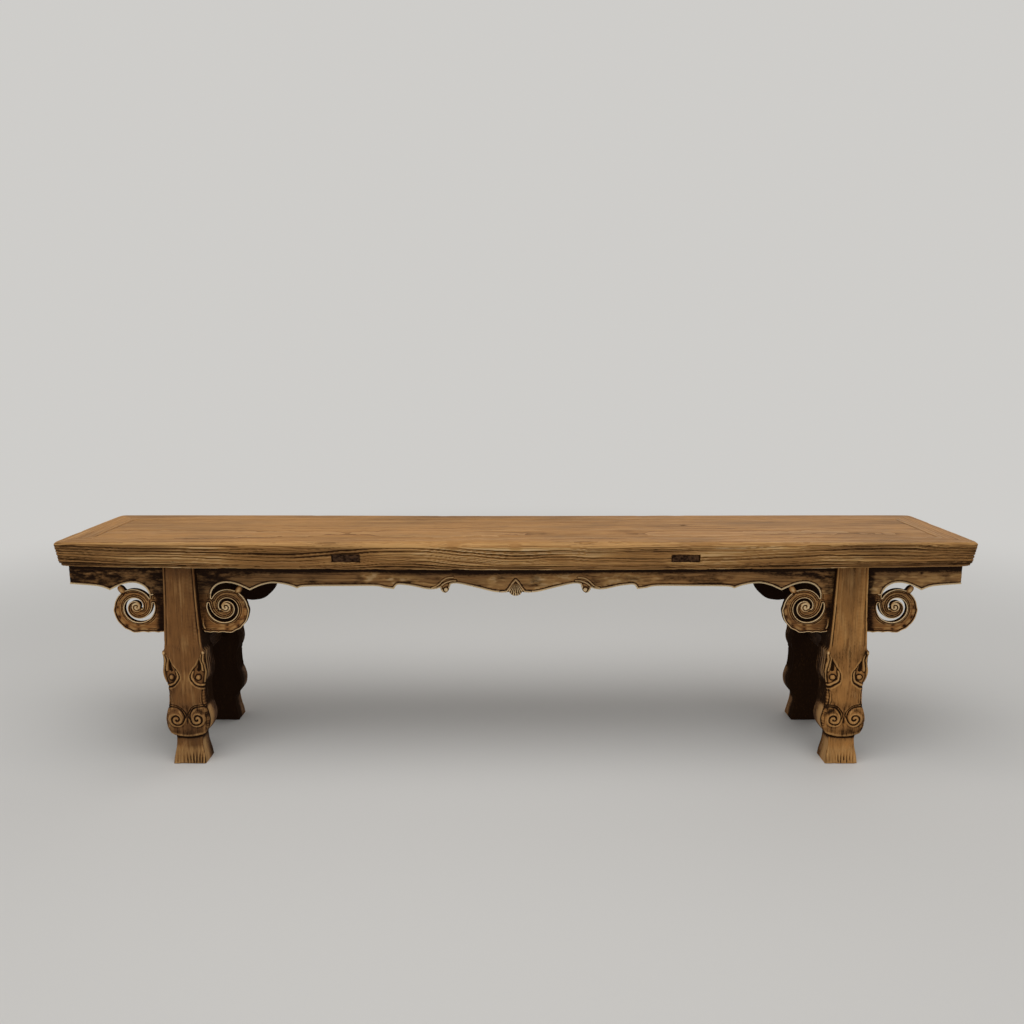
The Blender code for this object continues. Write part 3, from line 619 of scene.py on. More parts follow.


# Residue colours, which also serve as painted shade and shadow where the dark values run high.
RESIDUE_AND_SHADE = tone(38, 25, 17)
TOP_RESIDUE_AND_SHADE = tone(56, 37, 22)
APRON_RESIDUE_AND_SHADE = tone(40, 28, 23)
SCROLL_RESIDUE_AND_SHADE = tone(34, 22, 17)
TOP_TONES = ((108, 68, 31), (169, 122, 68), (191, 145, 89))
LEFT_LEG_TONES = ((84, 50, 22), (130, 87, 44), (160, 114, 66))
RIGHT_LEG_TONES = ((112, 70, 32), (182, 128, 68), (204, 155, 96))
APRON_TONES = ((104, 68, 37), (180, 132, 79), (206, 162, 104))
SCROLL_TONES = ((90, 54, 26), (160, 107, 54), (190, 138, 78))
INSIDE_TONES = ((46, 29, 16), (84, 55, 30), (104, 71, 42))
PEG_TONES = ((40, 26, 16), (66, 44, 27), (84, 58, 36))
APRON_PITH = (0.0, 0.10, -0.30)
INSIDE_PITH = (0.70, 0.0, -0.20)
LEG_LOOK = {"rings_share": 0.16, "blotchy": 1.8}
elm_top_x = elm("elm_top_x", "X", TOP_TONES, TOP_RESIDUE_AND_SHADE, (0.0, 0.06, -0.38))
elm_top_y = elm("elm_top_y", "Y", TOP_TONES, TOP_RESIDUE_AND_SHADE, (0.0, 0.0, -0.40))
elm_leg_left = elm("elm_leg_left", "Z", LEFT_LEG_TONES, RESIDUE_AND_SHADE, (0.80, 0.05, 0.0), **LEG_LOOK)
elm_leg_right = elm("elm_leg_right", "Z", RIGHT_LEG_TONES, RESIDUE_AND_SHADE, (-0.80, 0.05, 0.0), **LEG_LOOK)
elm_apron = elm("elm_apron", "X", APRON_TONES, APRON_RESIDUE_AND_SHADE, APRON_PITH, blotchy=1.4)
elm_scroll = elm("elm_scroll", "X", SCROLL_TONES, SCROLL_RESIDUE_AND_SHADE, APRON_PITH, blotchy=1.4)
elm_inside = elm("elm_inside", "Y", INSIDE_TONES, RESIDUE_AND_SHADE, INSIDE_PITH, gloss=0.66)
elm_peg = elm("elm_peg", "Y", PEG_TONES, RESIDUE_AND_SHADE, INSIDE_PITH, gloss=0.66)


# Top frame and panel

def edge_inset(height):
    """How far in the outer face of the top lies, from the rounded arris down to the underside."""
    arris_foot = TOP_Z - ARRIS_RADIUS
    foot_top = UNDERSIDE + FOOT_HEIGHT
    above = np.maximum(height - arris_foot, 0.0)
    arris = ARRIS_RADIUS - np.sqrt(np.maximum(ARRIS_RADIUS ** 2 - above ** 2, 0.0))
    lean = EDGE_LEAN * np.clip((arris_foot - height) / (arris_foot - foot_top), 0.0, 1.0)
    drop = np.clip((foot_top - height) / FOOT_HEIGHT, 0.0, 1.0)
    return arris + lean + FOOT_WIDTH * (1.0 - dome(drop))


def frame_rows(face_heights):
    """Rows of (inset, height) round a frame piece, from the panel's edge, and where its face's rows start."""
    rows = [(FRAME_WIDTH, TOP_Z - PANEL_CHAMFER), (FRAME_WIDTH - PANEL_CHAMFER, TOP_Z - 0.0001)]
    rows += [(inset, TOP_Z) for inset in np.linspace(FRAME_WIDTH - 0.004, ARRIS_RADIUS + 0.002, 24)]
    for degrees in range(0, 90, 10):
        angle = math.radians(degrees)
        rows.append((ARRIS_RADIUS * (1 - math.sin(angle)), TOP_Z - ARRIS_RADIUS * (1 - math.cos(angle))))
    first_face = len(rows)
    rows += [(float(edge_inset(height)), height) for height in face_heights]
    lip_inset = float(edge_inset(UNDERSIDE + LIP_HEIGHT))
    for degrees in range(52, 91, 9):
        drop = math.sin(math.radians(degrees))
        height = UNDERSIDE + FOOT_HEIGHT * (1 - drop)
        rows.append((lip_inset + LIP_UNDERCUT * (float(edge_inset(height)) - lip_inset), height))
    under = (LIP_WIDTH - 0.005, LIP_WIDTH - 0.0003, LIP_WIDTH + 0.0003, 0.043, 0.056, FRAME_WIDTH)
    rows += [(inset, UNDERSIDE) for inset in under]
    rows += [(FRAME_WIDTH, height) for height in np.linspace(UNDERSIDE, TOP_Z - PANEL_CHAMFER, 6)[1:-1]]
    return np.array(rows), first_face


def weathering(along, across, seed, pitch=0.0066):
    """Depth from 0 to 1 of worn grain: narrow lines that wander, part and meet as they run along a board."""
    level = across + 0.016 * (noise(along * 3.6, across * 9, seed) - 0.5)
    level = level + 0.0065 * (noise(along * 10.0, across * 30, seed + 1) - 0.5)
    level = level + 0.0016 * (noise(along * 30.0, across * 90, seed + 2) - 0.5)
    total = 0.0
    for number, (share, weight) in enumerate(((1.0, 1.0), (0.45, 0.80))):
        phase = level / (pitch * share)
        lane = np.floor(phase)
        ridge = 1.0 - np.abs(2.0 * (phase - lane) - 1.0)
        strength = smoothstep(0.22, 0.60, noise(along * 3.4, lane * 7.3 + 0.5, seed + 3 + number))
        narrow = 0.34 + 0.36 * noise(along * 5.0, lane * 3.7 + 0.5, seed + 5 + number)
        total = np.maximum(total, weight * strength * smoothstep(narrow, narrow + 0.32, ridge))
    return total


def sag_share(x):
    """How much of its sag a stile has at x."""
    return 1 - (x / (HALF_LENGTH + STILE_OVERCUT)) ** 2


def worn_stile(station, inset, height):
    """Lowers a stile's lip and rounds its arris towards the middle, as in the solids. Gives the radius."""
    share = sag_share(station)
    radius = ARRIS_RADIUS + ARRIS_WEAR * share ** 3
    brink = TOP_Z - ARRIS_RADIUS
    low = np.clip((brink - height) / (brink - UNDERSIDE - FOOT_HEIGHT), 0.0, 1.0) * (inset < LIP_WIDTH)
    height = height - STILE_SAG * share * low
    aside = inset - radius
    above = height - TOP_Z + radius
    length = np.maximum(np.hypot(aside, above), 1e-6)
    corner = (aside < 0) & (above > 0) & (length > radius)
    inset = np.where(corner, radius + aside * radius / length, inset)
    height = np.where(corner, TOP_Z - radius + above * radius / length, height)
    return inset, height, radius


def worn_rail(station, inset, height):
    """An end rail keeps its section."""
    return inset, height, np.full(station.shape, ARRIS_RADIUS)


def frame_piece(node, rows, stations, place, shape, seed, material, holes=()):
    """A mitred frame member: rows swept along stations. place turns (station, inset, height) into a point."""
    ahead = np.roll(rows, -1, axis=0) - np.roll(rows, 1, axis=0)
    ahead /= np.linalg.norm(ahead, axis=1)[:, None]
    outward = np.column_stack((ahead[:, 1], -ahead[:, 0]))
    middle = rows.mean(axis=0)
    outward *= np.sign(((rows - middle) * outward).sum(axis=1).mean())
    run = np.concatenate(([0.0], np.cumsum(np.linalg.norm(np.diff(rows, axis=0), axis=1))))
    station = np.broadcast_to(stations[:, None], (len(stations), len(rows)))
    travel = np.broadcast_to(run[None, :], station.shape)
    inset, height, radius = shape(station, rows[None, :, 0], rows[None, :, 1])
    depth = weathering(station, travel, seed)
    face = smoothstep(TOP_Z - 0.35 * radius, TOP_Z - 1.15 * radius, height) * smoothstep(0.030, 0.022, inset)
    on_top = smoothstep(TOP_Z - 0.002, TOP_Z - 0.0002, height)
    nick = smoothstep(0.60, 0.9, noise(station * 21, travel * 40, seed + 9))
    arris = bump((TOP_Z - 0.30 * radius - height) / radius, 0.8)
    arris = arris * smoothstep(1.6 * radius, 0.3 * radius, inset)
    swell = fractal(station * 7, travel * 26, seed + 7)
    cut = depth * (1.7 * face + 0.16 * on_top * (1 - arris) + 0.10) + nick * arris * 1.1
    cut += 1.0 * swell * face + 0.6 * arris * noise(station * 5, travel * 3, seed + 11)
    moved_inset = inset - outward[None, :, 0] * cut * MM
    moved_height = height - outward[None, :, 1] * cut * MM
    points = place(station, np.maximum(moved_inset, 0.0), np.minimum(moved_height, TOP_Z))
    # Painted shade on the foot of the edge, where it turns down, less where the stile sags; the lip at the
    # very bottom kept lighter, with a painted highlight as well as wear.
    above_lip = np.broadcast_to((rows[None, :, 1] - UNDERSIDE) / MM, station.shape)
    lip = smoothstep(4.6, 3.0, above_lip) * smoothstep(0.030, 0.022, inset)
    foot = smoothstep(14.0, 9.0, above_lip) * (1 - lip)
    hanging = (rows[None, :, 1] - height) / STILE_SAG * foot
    dark = 0.68 * smoothstep(0.10, 0.95, depth) * face + 0.15 * smoothstep(0.4, 0.9, depth) * on_top
    dark = dark + 0.20 * face * smoothstep(0.48, 0.78, swell)
    dark = dark * (1 - 0.6 * lip) + 0.44 * foot * (1 - 0.8 * hanging)
    pale = 0.42 * arris * (1 - nick) * smoothstep(0.75, 0.25, depth) + 0.16 * lip * (1 - 0.5 * depth)
    pale = pale + 0.60 * face * smoothstep(0.2, 0.0, depth) * smoothstep(0.62, 0.3, swell) * (1 - foot)
    columns, lanes = station.shape
    index = np.arange(columns * lanes).reshape(columns, lanes)
    closed = np.hstack((index, index[:, :1]))
    solid = np.ones((columns - 1, lanes), bool)
    for first, last, head, sole in holes:
        solid[first:last, head:sole] = False
    a, b = np.nonzero(solid)
    corners = (closed[a, b], closed[a + 1, b], closed[a + 1, b + 1], closed[a, b + 1])
    faces = np.column_stack(corners).tolist() + [index[0].tolist(), index[-1].tolist()]
    flat = points.reshape(-1, 3)
    dark = dark.reshape(-1)
    pale = pale.reshape(-1)
    for first, last, head, sole in holes:
        rim = [index[first, lane] for lane in range(head, sole)]
        rim += [index[column, sole] for column in range(first, last)]
        rim += [index[last, lane] for lane in range(sole, head, -1)]
        rim += [index[column, head] for column in range(last, first, -1)]
        ragged = fractal(flat[rim, 0] * 260, flat[rim, 2] * 260, seed + 13) - 0.5
        flat[rim, 0] += 1.6 * MM * ragged
        flat[rim, 2] -= 2.2 * MM * ragged
        floor = flat[rim].copy()
        floor[:, 1] += math.copysign(MORTISE_DEPTH, -floor[0, 1])
        start = len(flat)
        flat = np.vstack((flat, floor))
        floor_rim = np.arange(start, start + len(rim))
        faces += wall(np.array(rim), floor_rim) + [floor_rim.tolist()]
        # The hole's rim and floor are darkened: residue and painted shade in the recess.
        dark[rim] = 0.65
        pale[rim] = 0.0
        dark = np.concatenate((dark, np.full(len(rim), 1.0)))
        pale = np.concatenate((pale, np.zeros(len(rim))))
    return make_piece(node + "_weathered", flat, faces, material, node, dark, pale)


def mitred(stations, half, inset):
    """Place along and inset of rows that stop on the mitre, with the corner eased in plan."""
    pull = CORNER_EASE * np.maximum(1.0 - inset / CORNER_EASE_WIDTH, 0.0)
    start = half - MITRE_ZONE
    end = half - inset - pull
    beyond = np.maximum(np.abs(stations) - start, 0.0) / MITRE_ZONE
    along = np.minimum(np.abs(stations), start) + beyond * (end - start)
    share = np.clip((along - end) / CORNER_EASE_RUN + 1.0, 0.0, 1.0)
    return np.sign(stations) * along, inset + pull * share ** 2


def make_frame():
    """Both stiles, with sunk ends of the battens' tenons, and both end rails."""
    batten_low, batten_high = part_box("left_batten")
    half_width = (batten_high.x - batten_low.x) / 2
    batten_x = -(batten_high.x + batten_low.x) / 2
    tenon_foot = batten_low.z + BATTEN_TENON_RISE
    tenon_top = tenon_foot + BATTEN_TENON_HEIGHT
    heights = np.linspace(TOP_Z - ARRIS_RADIUS - 0.0012, UNDERSIDE + 0.0068, FACE_ROWS)
    lowered = worn_stile(np.full(len(heights), batten_x), edge_inset(heights), heights)[1]
    top_row = int(np.argmin(abs(lowered - tenon_top)))
    foot_row = int(np.argmin(abs(lowered - tenon_foot)))
    rows, first_face = frame_rows(heights)
    stations = np.linspace(-HALF_LENGTH, HALF_LENGTH, STILE_COLUMNS)
    holes = []
    for side in (-1, 1):
        ends = []
        for edge in (-1, 1):
            wanted = side * batten_x + edge * (half_width + MORTISE_SPARE)
            column = int(np.argmin(abs(stations - wanted)))
            stations[column] = wanted
            ends.append(column)
        holes.append((ends[0], ends[1], first_face + top_row, first_face + foot_row))
    for word, facing in (("front", -1), ("back", 1)):
        def place(station, inset, height, facing=facing):
            x, moved = mitred(station, HALF_LENGTH, inset)
            return np.stack((x, facing * (HALF_DEPTH - moved), height), axis=-1)
        seed = 11 if facing < 0 else 47
        frame_piece(f"top_{word}_stile", rows, stations, place, worn_stile, seed, elm_top_x, holes)
    stations = np.linspace(-HALF_DEPTH, HALF_DEPTH, RAIL_COLUMNS)
    for word, side in (("left", -1), ("right", 1)):
        def place(station, inset, height, side=side):
            y, moved = mitred(station, HALF_DEPTH, inset)
            return np.stack((side * (HALF_LENGTH - moved), y, height), axis=-1)
        seed = 83 if side < 0 else 131
        frame_piece(f"top_{word}_end_rail", rows, stations, place, worn_rail, seed, elm_top_y)


def make_panel():
    """The floating panel: grain worn into its surface, a knot, and eased edges at the frame."""
    half_x = HALF_LENGTH - FRAME_WIDTH - PANEL_GAP
    half_y = HALF_DEPTH - FRAME_WIDTH - PANEL_GAP
    thickness = TOP_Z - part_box("top_panel")[0].z
    x, y = (np.concatenate(([-half], np.linspace(-half + PANEL_RIM, half - PANEL_RIM, count), [half]))
            for half, count in ((half_x, PANEL_COLUMNS), (half_y, PANEL_ROWS)))
    gx, gy = np.meshgrid(x, y, indexing="ij")
    depth = weathering(gx, gy, 201, 0.013)
    knot_away = np.hypot((gx - 0.418) / 1.7, gy - 0.033)
    knot = bump(knot_away, 0.006)
    edge = np.minimum(half_x - abs(gx), half_y - abs(gy))
    cut = 0.22 * depth + 0.55 * fractal(gx * 2.2, gy * 9, 205) + 0.8 * knot
    cut = cut + 1.0 * (1 - smoothstep(0.0, 0.0009, edge)) + 0.35 * bump(edge, 0.004)
    top = np.stack((gx, gy, TOP_Z - cut * MM), axis=-1).reshape(-1, 3)
    dark = 0.20 * smoothstep(0.3, 0.9, depth) + 0.8 * knot + 0.55 * (1 - smoothstep(0.0, 0.0012, edge))
    pale = 0.15 * smoothstep(0.2, 0.0, depth)
    columns, lanes = gx.shape
    index = np.arange(columns * lanes).reshape(columns, lanes)
    faces = np.column_stack((index[:-1, :-1].ravel(), index[1:, :-1].ravel(),
                             index[1:, 1:].ravel(), index[:-1, 1:].ravel())).tolist()
    rim = np.concatenate((index[:-1, 0], index[-1, :-1], index[:0:-1, -1], index[0, :0:-1]))
    under = top[rim].copy()
    under[:, 2] = TOP_Z - thickness
    start = len(top)
    under_rim = np.arange(start, start + len(rim))
    faces += wall(rim, under_rim) + [under_rim.tolist()]
    dark = np.concatenate((dark.ravel(), np.full(len(rim), 0.6)))
    pale = np.concatenate((pale.ravel(), np.zeros(len(rim))))
    points = np.vstack((top, under))
    return make_piece("top_panel_weathered", points, faces, elm_top_x, "top_panel", dark, pale)


# Aprons

# Section of the bead along an apron's lower edge: distance from the edge, and height
APRON_BEAD = ((0, 0.3, 0.8, 1.4, 2.2, 3.2, 4.4, 5.6, 7.0), (0.2, 0.9, 1.2, 1.2, 0.8, 0.0, -1.2, -0.5, 0.0))
# Paleness of the bead by distance from the edge: wear and a painted highlight on its crest
APRON_BEAD_WEAR_AND_HIGHLIGHT = ((0, 3.0, 3.7), (1.0, 1.0, 0.0))
# Half width of the fan in the middle at a height, the point its petals spread from, and a petal's angle
FAN_SIDES = ((0.4165, 0.4190, 0.4220, 0.4283, 0.4400, 0.4465), (0.030, 0.0210, 0.0180, 0.0133, 0.0055, 0.0))
FAN_FOCUS_Z = 0.4445
PETAL_ANGLE = 0.170
# Beads, as X from the middle and Z in millimetres: over the fan, round a curl, and above the curl
FAN_BEAD = ((0, 446.0), (5.5, 440), (13.3, 428.3), (18, 422), (21, 419), (27, 417), (34, 416.5))
CURL_BEAD = ((139.5, 443.8), (150.8, 443.4), (160.5, 440.4), (168.6, 436.2), (173.6, 431.0), (175.0, 426.0))
UPPER_BEAD = ((146, 452), (153, 451.6), (162.4, 449.3), (171, 443.6), (178, 436.4), (186, 430.2),
              (196, 427.0))
CURL_BALL = (0.1627, 0.4226)
APRON_KNOT = (0.9456, 0.4627)


def apron_lower_edge(loop):
    """Close points along the carved lower edge, without the joints over the spandrels."""
    rim = resampled(loop, RIM_STEP, corner=-1.0)
    top = rim[:, 1].max()
    by_leg = (np.abs(rim[:, 0] - LEG_X) < 0.03) & (rim[:, 1] < top - 0.01)
    seam = np.interp(LEG_X, *rim[by_leg].T)
    on_seam = (np.abs(rim[:, 1] - seam) < 0.0006) & (np.abs(np.abs(rim[:, 0]) - LEG_X) < 0.080)
    end = np.abs(rim[:, 0]).max() - 0.0006
    return rim[(rim[:, 1] < top - 0.0015) & (np.abs(rim[:, 0]) < end) & ~on_seam]


def weather_apron(face, x, z, edge):
    """Pits, soot and painted shadow under the top, darker beside the legs, painted shadow under the lip,
    rubbed patches and a knot.
    """
    ax = np.abs(x)
    shred = fractal((x - 1.1 * z) * 60, (z + 0.12 * x) * 170, 303)
    body = smoothstep(4.0, 7.0, edge)
    pits = weathering(x, z, 301, 0.011)
    face.height -= body * (0.6 * pits + 1.3 * fractal(x * 14, z * 30, 307) + 0.6 * shred)
    near_leg = bump((ax - LEG_X) / 0.10, 1.0)
    patch = fractal(x * 8, z * 16, 311)
    wing = smoothstep(LEG_X, LEG_X + 0.04, ax) * np.sign(x)
    right_wing = np.maximum(wing, 0.0)
    # Soot and the painted shadow of the top reach down to here.
    soot_and_shadow_from = 0.463 - 0.050 * (patch - 0.42) - 0.030 * near_leg * (1 - 0.5 * wing) + 0.026 * (shred - 0.5)
    soot_and_shadow_from = soot_and_shadow_from + 0.016 * right_wing
    soot_and_shadow_from = soot_and_shadow_from + 0.009 * smoothstep(0.18, 0.26, -x) * smoothstep(0.62, 0.52, -x)
    soot_and_shadow_from = soot_and_shadow_from + 0.010 * smoothstep(0.15, 0.13, np.abs(x - 0.085) + 0.06)
    soot_and_shadow = smoothstep(-0.012, 0.010, z - soot_and_shadow_from) * (1 - 0.30 * near_leg * patch)
    soot_and_shadow = np.maximum(soot_and_shadow, 0.95 * smoothstep(0.0, 0.5, -wing) * (0.5 + 0.8 * patch))
    smear = smoothstep(0.52, 0.74, fractal(x * 22 + 9, z * 60, 317))
    face.darken(body * np.maximum(soot_and_shadow * (0.20 + 1.05 * shred), 0.50 * smear))
    # Darker beside the legs, and a painted shadow line right under the lip.
    beside_leg = smoothstep(0.072, 0.046, np.abs(ax - LEG_X)) * np.where(x > LEG_X, 1.0, 0.65)
    under_lip = UNDERSIDE - STILE_SAG * sag_share(x) - LIP_SHADOW_DROP - z
    face.darken(body * (0.55 + 0.7 * shred) * np.maximum(beside_leg, smoothstep(0.008, -0.004, under_lip)))
    # Painted shadow under the lip, fading downwards.
    shade = 0.008 + 0.020 * patch + 0.009 * bump(x, 0.16) + 0.007 * right_wing
    face.darken(body * smoothstep(shade, 0.0030, under_lip))
    patches = np.maximum(bump(x + 0.048, 0.034), bump(np.maximum(np.abs(x - 0.085) - 0.04, 0.0), 0.025))
    patches = np.maximum(patches, 0.8 * smoothstep(0.0, 0.6, wing))
    glow = np.maximum(smoothstep(0.40, 0.62, fractal(x * 7 + 3, z * 22, 323)), patches) * (1 - soot_and_shadow)
    face.lighten(0.64 * body * glow * smoothstep(0.70, 0.30, shred))
    knot = np.hypot(x - APRON_KNOT[0], (z - APRON_KNOT[1]) * 1.2) / MM
    face.height -= 1.2 * bump(knot, 4.0)
    face.darken(0.9 * bump(knot, 4.5))


def carve_fan(face, x, z, fan):
    """A fan of petals under a bead shaped like a tent."""
    away = distances(np.column_stack((np.abs(x), z)), line(*FAN_BEAD))
    face.height += 1.5 * bump(away, 1.6) - 1.3 * bump(away - 3.8, 1.3) * (1 - fan)
    face.darken(0.62 * bump(away - 3.4, 1.2), keep=1 - bump(away, 1.4))
    face.lighten(0.72 * bump(away, 1.3))
    spoke = np.arctan2(x, np.maximum(FAN_FOCUS_Z - z, 1e-4))
    petal = np.cos(spoke * math.pi / PETAL_ANGLE) ** 2
    begun = smoothstep(0.4385, 0.4325, z)
    face.level(fan, -1.8 + begun * 2.8 * np.sqrt(petal))
    face.darken(fan * (0.55 - 0.10 * begun + 0.45 * begun * (1 - petal) ** 2), keep=1 - fan)
    face.dark = face.dark * (1 - 0.9 * fan * begun * smoothstep(0.35, 0.75, petal))
    face.lighten(fan * 0.85 * begun * smoothstep(0.35, 0.85, petal), keep=1 - fan)


def carve_curls(face, x, z):
    """Two small curls, each a ball under two beads."""
    ax = np.abs(x)
    for bead, strong in ((CURL_BEAD, 1.0), (UPPER_BEAD, 0.8)):
        away = distances(np.column_stack((ax, z)), line(*bead))
        face.height += strong * (1.3 * bump(away, 1.3) - 0.9 * bump(away - 2.9, 1.0))
        face.darken(0.62 * strong * bump(away - 2.9, 1.0), keep=1 - strong * bump(away, 1.3))
        face.lighten(0.80 * strong * bump(away, 1.2))
    ball = np.hypot(ax - CURL_BALL[0], z - CURL_BALL[1]) / MM
    face.height += 2.0 * dome(ball, 5.0) - 1.6 * bump(ball - 6.4, 1.1)
    face.lighten(smoothstep(5.0, 3.4, ball), keep=smoothstep(5.0, 6.0, ball))
    face.darken(0.9 * bump(ball - 6.2, 1.1), keep=smoothstep(4.0, 5.2, ball))


def apron_relief(points, loops):
    """Beaded lower edge, a fan of petals in the middle with a bead over it, and two small curls."""
    x, z = points.T
    edge = distances(points, apron_lower_edge(loops[0]))
    fan = np.interp(z, *FAN_SIDES) - np.abs(x) - 0.0012
    fan = smoothstep(0.0006, 0.0022, fan) * smoothstep(0.4455, 0.4405, z)
    plain = 1 - fan
    face = Carving(np.interp(edge, *APRON_BEAD) * plain, 0.75 * bump(edge - 4.8, 0.9) * plain,
                   np.interp(edge, *APRON_BEAD_WEAR_AND_HIGHLIGHT) * plain)
    weather_apron(face, x, z, edge)
    carve_fan(face, x, z, fan)
    carve_curls(face, x, z)
    return face


# Spandrels. u is the distance from the leg's axis, and a turn is a quarter turn about the scroll's middle.

# Section of a scroll's band: distance from the nearest cut edge, and height
SCROLL_BAND = ((0, 0.4, 1.0, 1.7, 2.4, 3.0, 3.7, 4.8, 6.5, 9.0, 13.0),
               (-1.2, 0.1, 0.9, 1.2, 0.8, -0.5, -2.0, -1.8, -2.3, -2.5, -2.1))
# Paleness by distance from a cut edge: wear and a painted highlight on the bead
SCROLL_BAND_WEAR_AND_HIGHLIGHT = ((0, 0.4, 1.7, 2.3), (0.6, 0.92, 0.88, 0.0))
# Bead that turns up beside the leg, u and Z in millimetres
PLATE_BEAD = ((47.0, 328.0), (45.0, 331.5), (43.9, 336), (43.4, 342), (43.4, 350))
# Foot of the plate: where its lobes start, and how far its corner at the leg is lifted in millimetres
FOOT_FROM = 0.040
FOOT_CORNER_LIFT = 6.5


def from_knob(u, z, reach):
    """Distance from the middle of the little ball, 1 on its outline."""
    turn = KNOB_TURN * math.pi / 2
    aside = u - reach + KNOB_RADIUS * math.sin(turn)
    above = z - SCROLL_Z - KNOB_RADIUS * math.cos(turn)
    along = above * math.cos(turn) - aside * math.sin(turn)
    beside = above * math.sin(turn) + aside * math.cos(turn)
    return np.hypot(along / KNOB_HALF_LENGTH, beside / KNOB_HALF_WIDTH)


def carve_bands(u, z, edge, reach):
    """Beads along the cut edges, lines that follow the spiral, and scooped lobes along the outer rim."""
    radius = np.hypot(u - reach, z - SCROLL_Z)
    turn = np.arctan2(reach - u, z - SCROLL_Z) / (math.pi / 2)
    turn = np.where(turn > 1.2, turn - 4, turn)
    lobes = smoothstep(0.040, 0.044, radius) * smoothstep(-0.55, -0.85, turn) * smoothstep(-2.5, -2.1, turn)
    lines = smoothstep(4.2, 5.0, edge) * (1 - smoothstep(10.5, 12.5, edge)) * (1 - lobes)
    wave = 0.5 + 0.5 * np.cos((edge - 5.7) * 2 * math.pi / 4.3)
    face = Carving(np.interp(edge, *SCROLL_BAND) + 1.1 * lines * wave,
                   0.95 * bump(edge - 3.6, 0.9) + 0.62 * lines * (1 - wave) ** 2,
                   np.interp(edge, *SCROLL_BAND_WEAR_AND_HIGHLIGHT))
    face.lighten(0.46 * lines * wave)
    scoop = np.sqrt(0.16 + 0.84 * np.sin((turn + 1.0) * 3 * math.pi) ** 2)
    lobes = lobes * window(4.0, 6.0, 9.5, 13.0, edge)
    face.height += lobes * (1.8 * scoop - 1.0)
    face.darken(0.26 * lobes * (1 - smoothstep(0.4, 0.7, scoop)), keep=1 - 0.6 * lobes)
    face.lighten(0.48 * lobes * smoothstep(0.45, 0.85, scoop))
    return face


def carve_plate(face, u, z, edge, reach):
    """The sunk plate beside the leg, darker on an outer spandrel, and the bead that turns up its side."""
    plate = (1 - smoothstep(reach - 0.056, reach - 0.034, u)) * smoothstep(3.2, 4.4, edge)
    plate *= smoothstep(0.040, 0.045, np.hypot(u - reach, z - SCROLL_Z))
    worn = fractal(u * 60, z * 40, 401)
    face.level(plate, -1.9 - 1.0 * worn)
    face.darken(plate * (0.34 + 0.46 * worn + 14.0 * (reach - SCROLL_REACH["inner"])), keep=1 - plate)
    face.pale = face.pale * (1 - plate)
    away = distances(np.column_stack((u, z)), line(*PLATE_BEAD))
    shown = smoothstep(0.038, 0.040, u)
    face.height += 2.0 * bump(away, 1.5) * shown
    face.lighten(0.60 * bump(away, 1.3) * shown * smoothstep(0.352, 0.334, z))
    beside = 0.8 * bump(away - 3.0, 1.0) * smoothstep(0.055, 0.050, u) * smoothstep(0.348, 0.340, z)
    face.darken(beside, keep=1 - 0.8 * bump(away, 1.5))


def carve_boss(face, u, z, reach):
    """The boss in the scroll's middle, with the spiral's last coil cut into it."""
    last = np.linspace(0.0, 1.0, 110)
    angle = (SPIRAL_END_TURN - 0.30 + 4.6 * last) * math.pi / 2
    radius = 0.0104 * (1 - 0.84 * last)
    coil = np.column_stack((reach - radius * np.sin(angle), SCROLL_Z + radius * np.cos(angle)))
    away = distances(np.column_stack((u, z)), coil)
    boss = smoothstep(0.0130, 0.0100, np.hypot(u - reach, z - SCROLL_Z))
    face.level(boss, 1.5 - 3.0 * bump(away, 1.05))
    face.darken(boss * 0.92 * bump(away, 1.0), keep=1 - boss)
    face.lighten(boss * 0.75 * smoothstep(0.9, 1.9, away), keep=1 - boss)


def carve_knob(face, away):
    """The little ball between a scroll and the apron. away is 1 on its outline."""
    knob = smoothstep(1.16, 0.98, away)
    face.level(knob, 2.6 * dome(0.92 * away) - 1.2)
    face.darken(0.7 * bump(away - 1.12, 0.10), keep=1 - knob)
    face.lighten(0.62 * smoothstep(0.95, 0.4, away), keep=1 - knob)


def scroll_relief(points, loops, direction, leg_x, reach):
    """Relief of a scroll spandrel on the side of a leg that direction gives."""
    u = (points[:, 0] - leg_x) * direction
    z = points[:, 1]
    rim = np.vstack([resampled(loop, RIM_STEP, corner=-1.0) for loop in loops])
    rim_u = (rim[:, 0] - leg_x) * direction
    seam = rim[rim_u < 0.03][:, 1].max()
    beaded = (rim_u > 0.046) & ~((rim[:, 1] > seam - 0.0006) & (rim_u < 0.070))
    beaded &= from_knob(rim_u, rim[:, 1], reach) > 1.12
    edge = distances(points, rim[beaded])
    face = carve_bands(u, z, edge, reach)
    carve_plate(face, u, z, edge, reach)
    carve_boss(face, u, z, reach)
    carve_knob(face, from_knob(u, z, reach))
    face.height -= 0.45 * fractal(u * 120, z * 120, 409)
    dirt = fractal(points[:, 0] * 38, z * 38, 421)
    face.pale *= 0.54 + 0.6 * dirt
    face.dark = np.clip(face.dark + 0.50 * (dirt - 0.40) + 6.0 * (reach - SCROLL_REACH["inner"]), 0, 1)
    return face


def plain_relief(points, loops):
    """A plain board's face: eased edges, saw and scraper marks."""
    x, z = points.T
    rim = np.vstack([resampled(loop, CLOSE_STEP, corner=-1.0) for loop in loops])
    edge = distances(points, rim)
    marks = weathering(x, z, 431, 0.012)
    dents = fractal(x * 24, z * 40, 433)
    height = -1.4 * np.maximum(1 - edge / 1.6, 0.0) ** 2 - 0.4 * marks - 0.9 * dents
    dark = 0.42 + 0.35 * (dents - 0.4) + 0.3 * smoothstep(0.4, 0.9, marks)
    return Carving(height, dark, 0.30 * smoothstep(2.6, 0.8, edge))


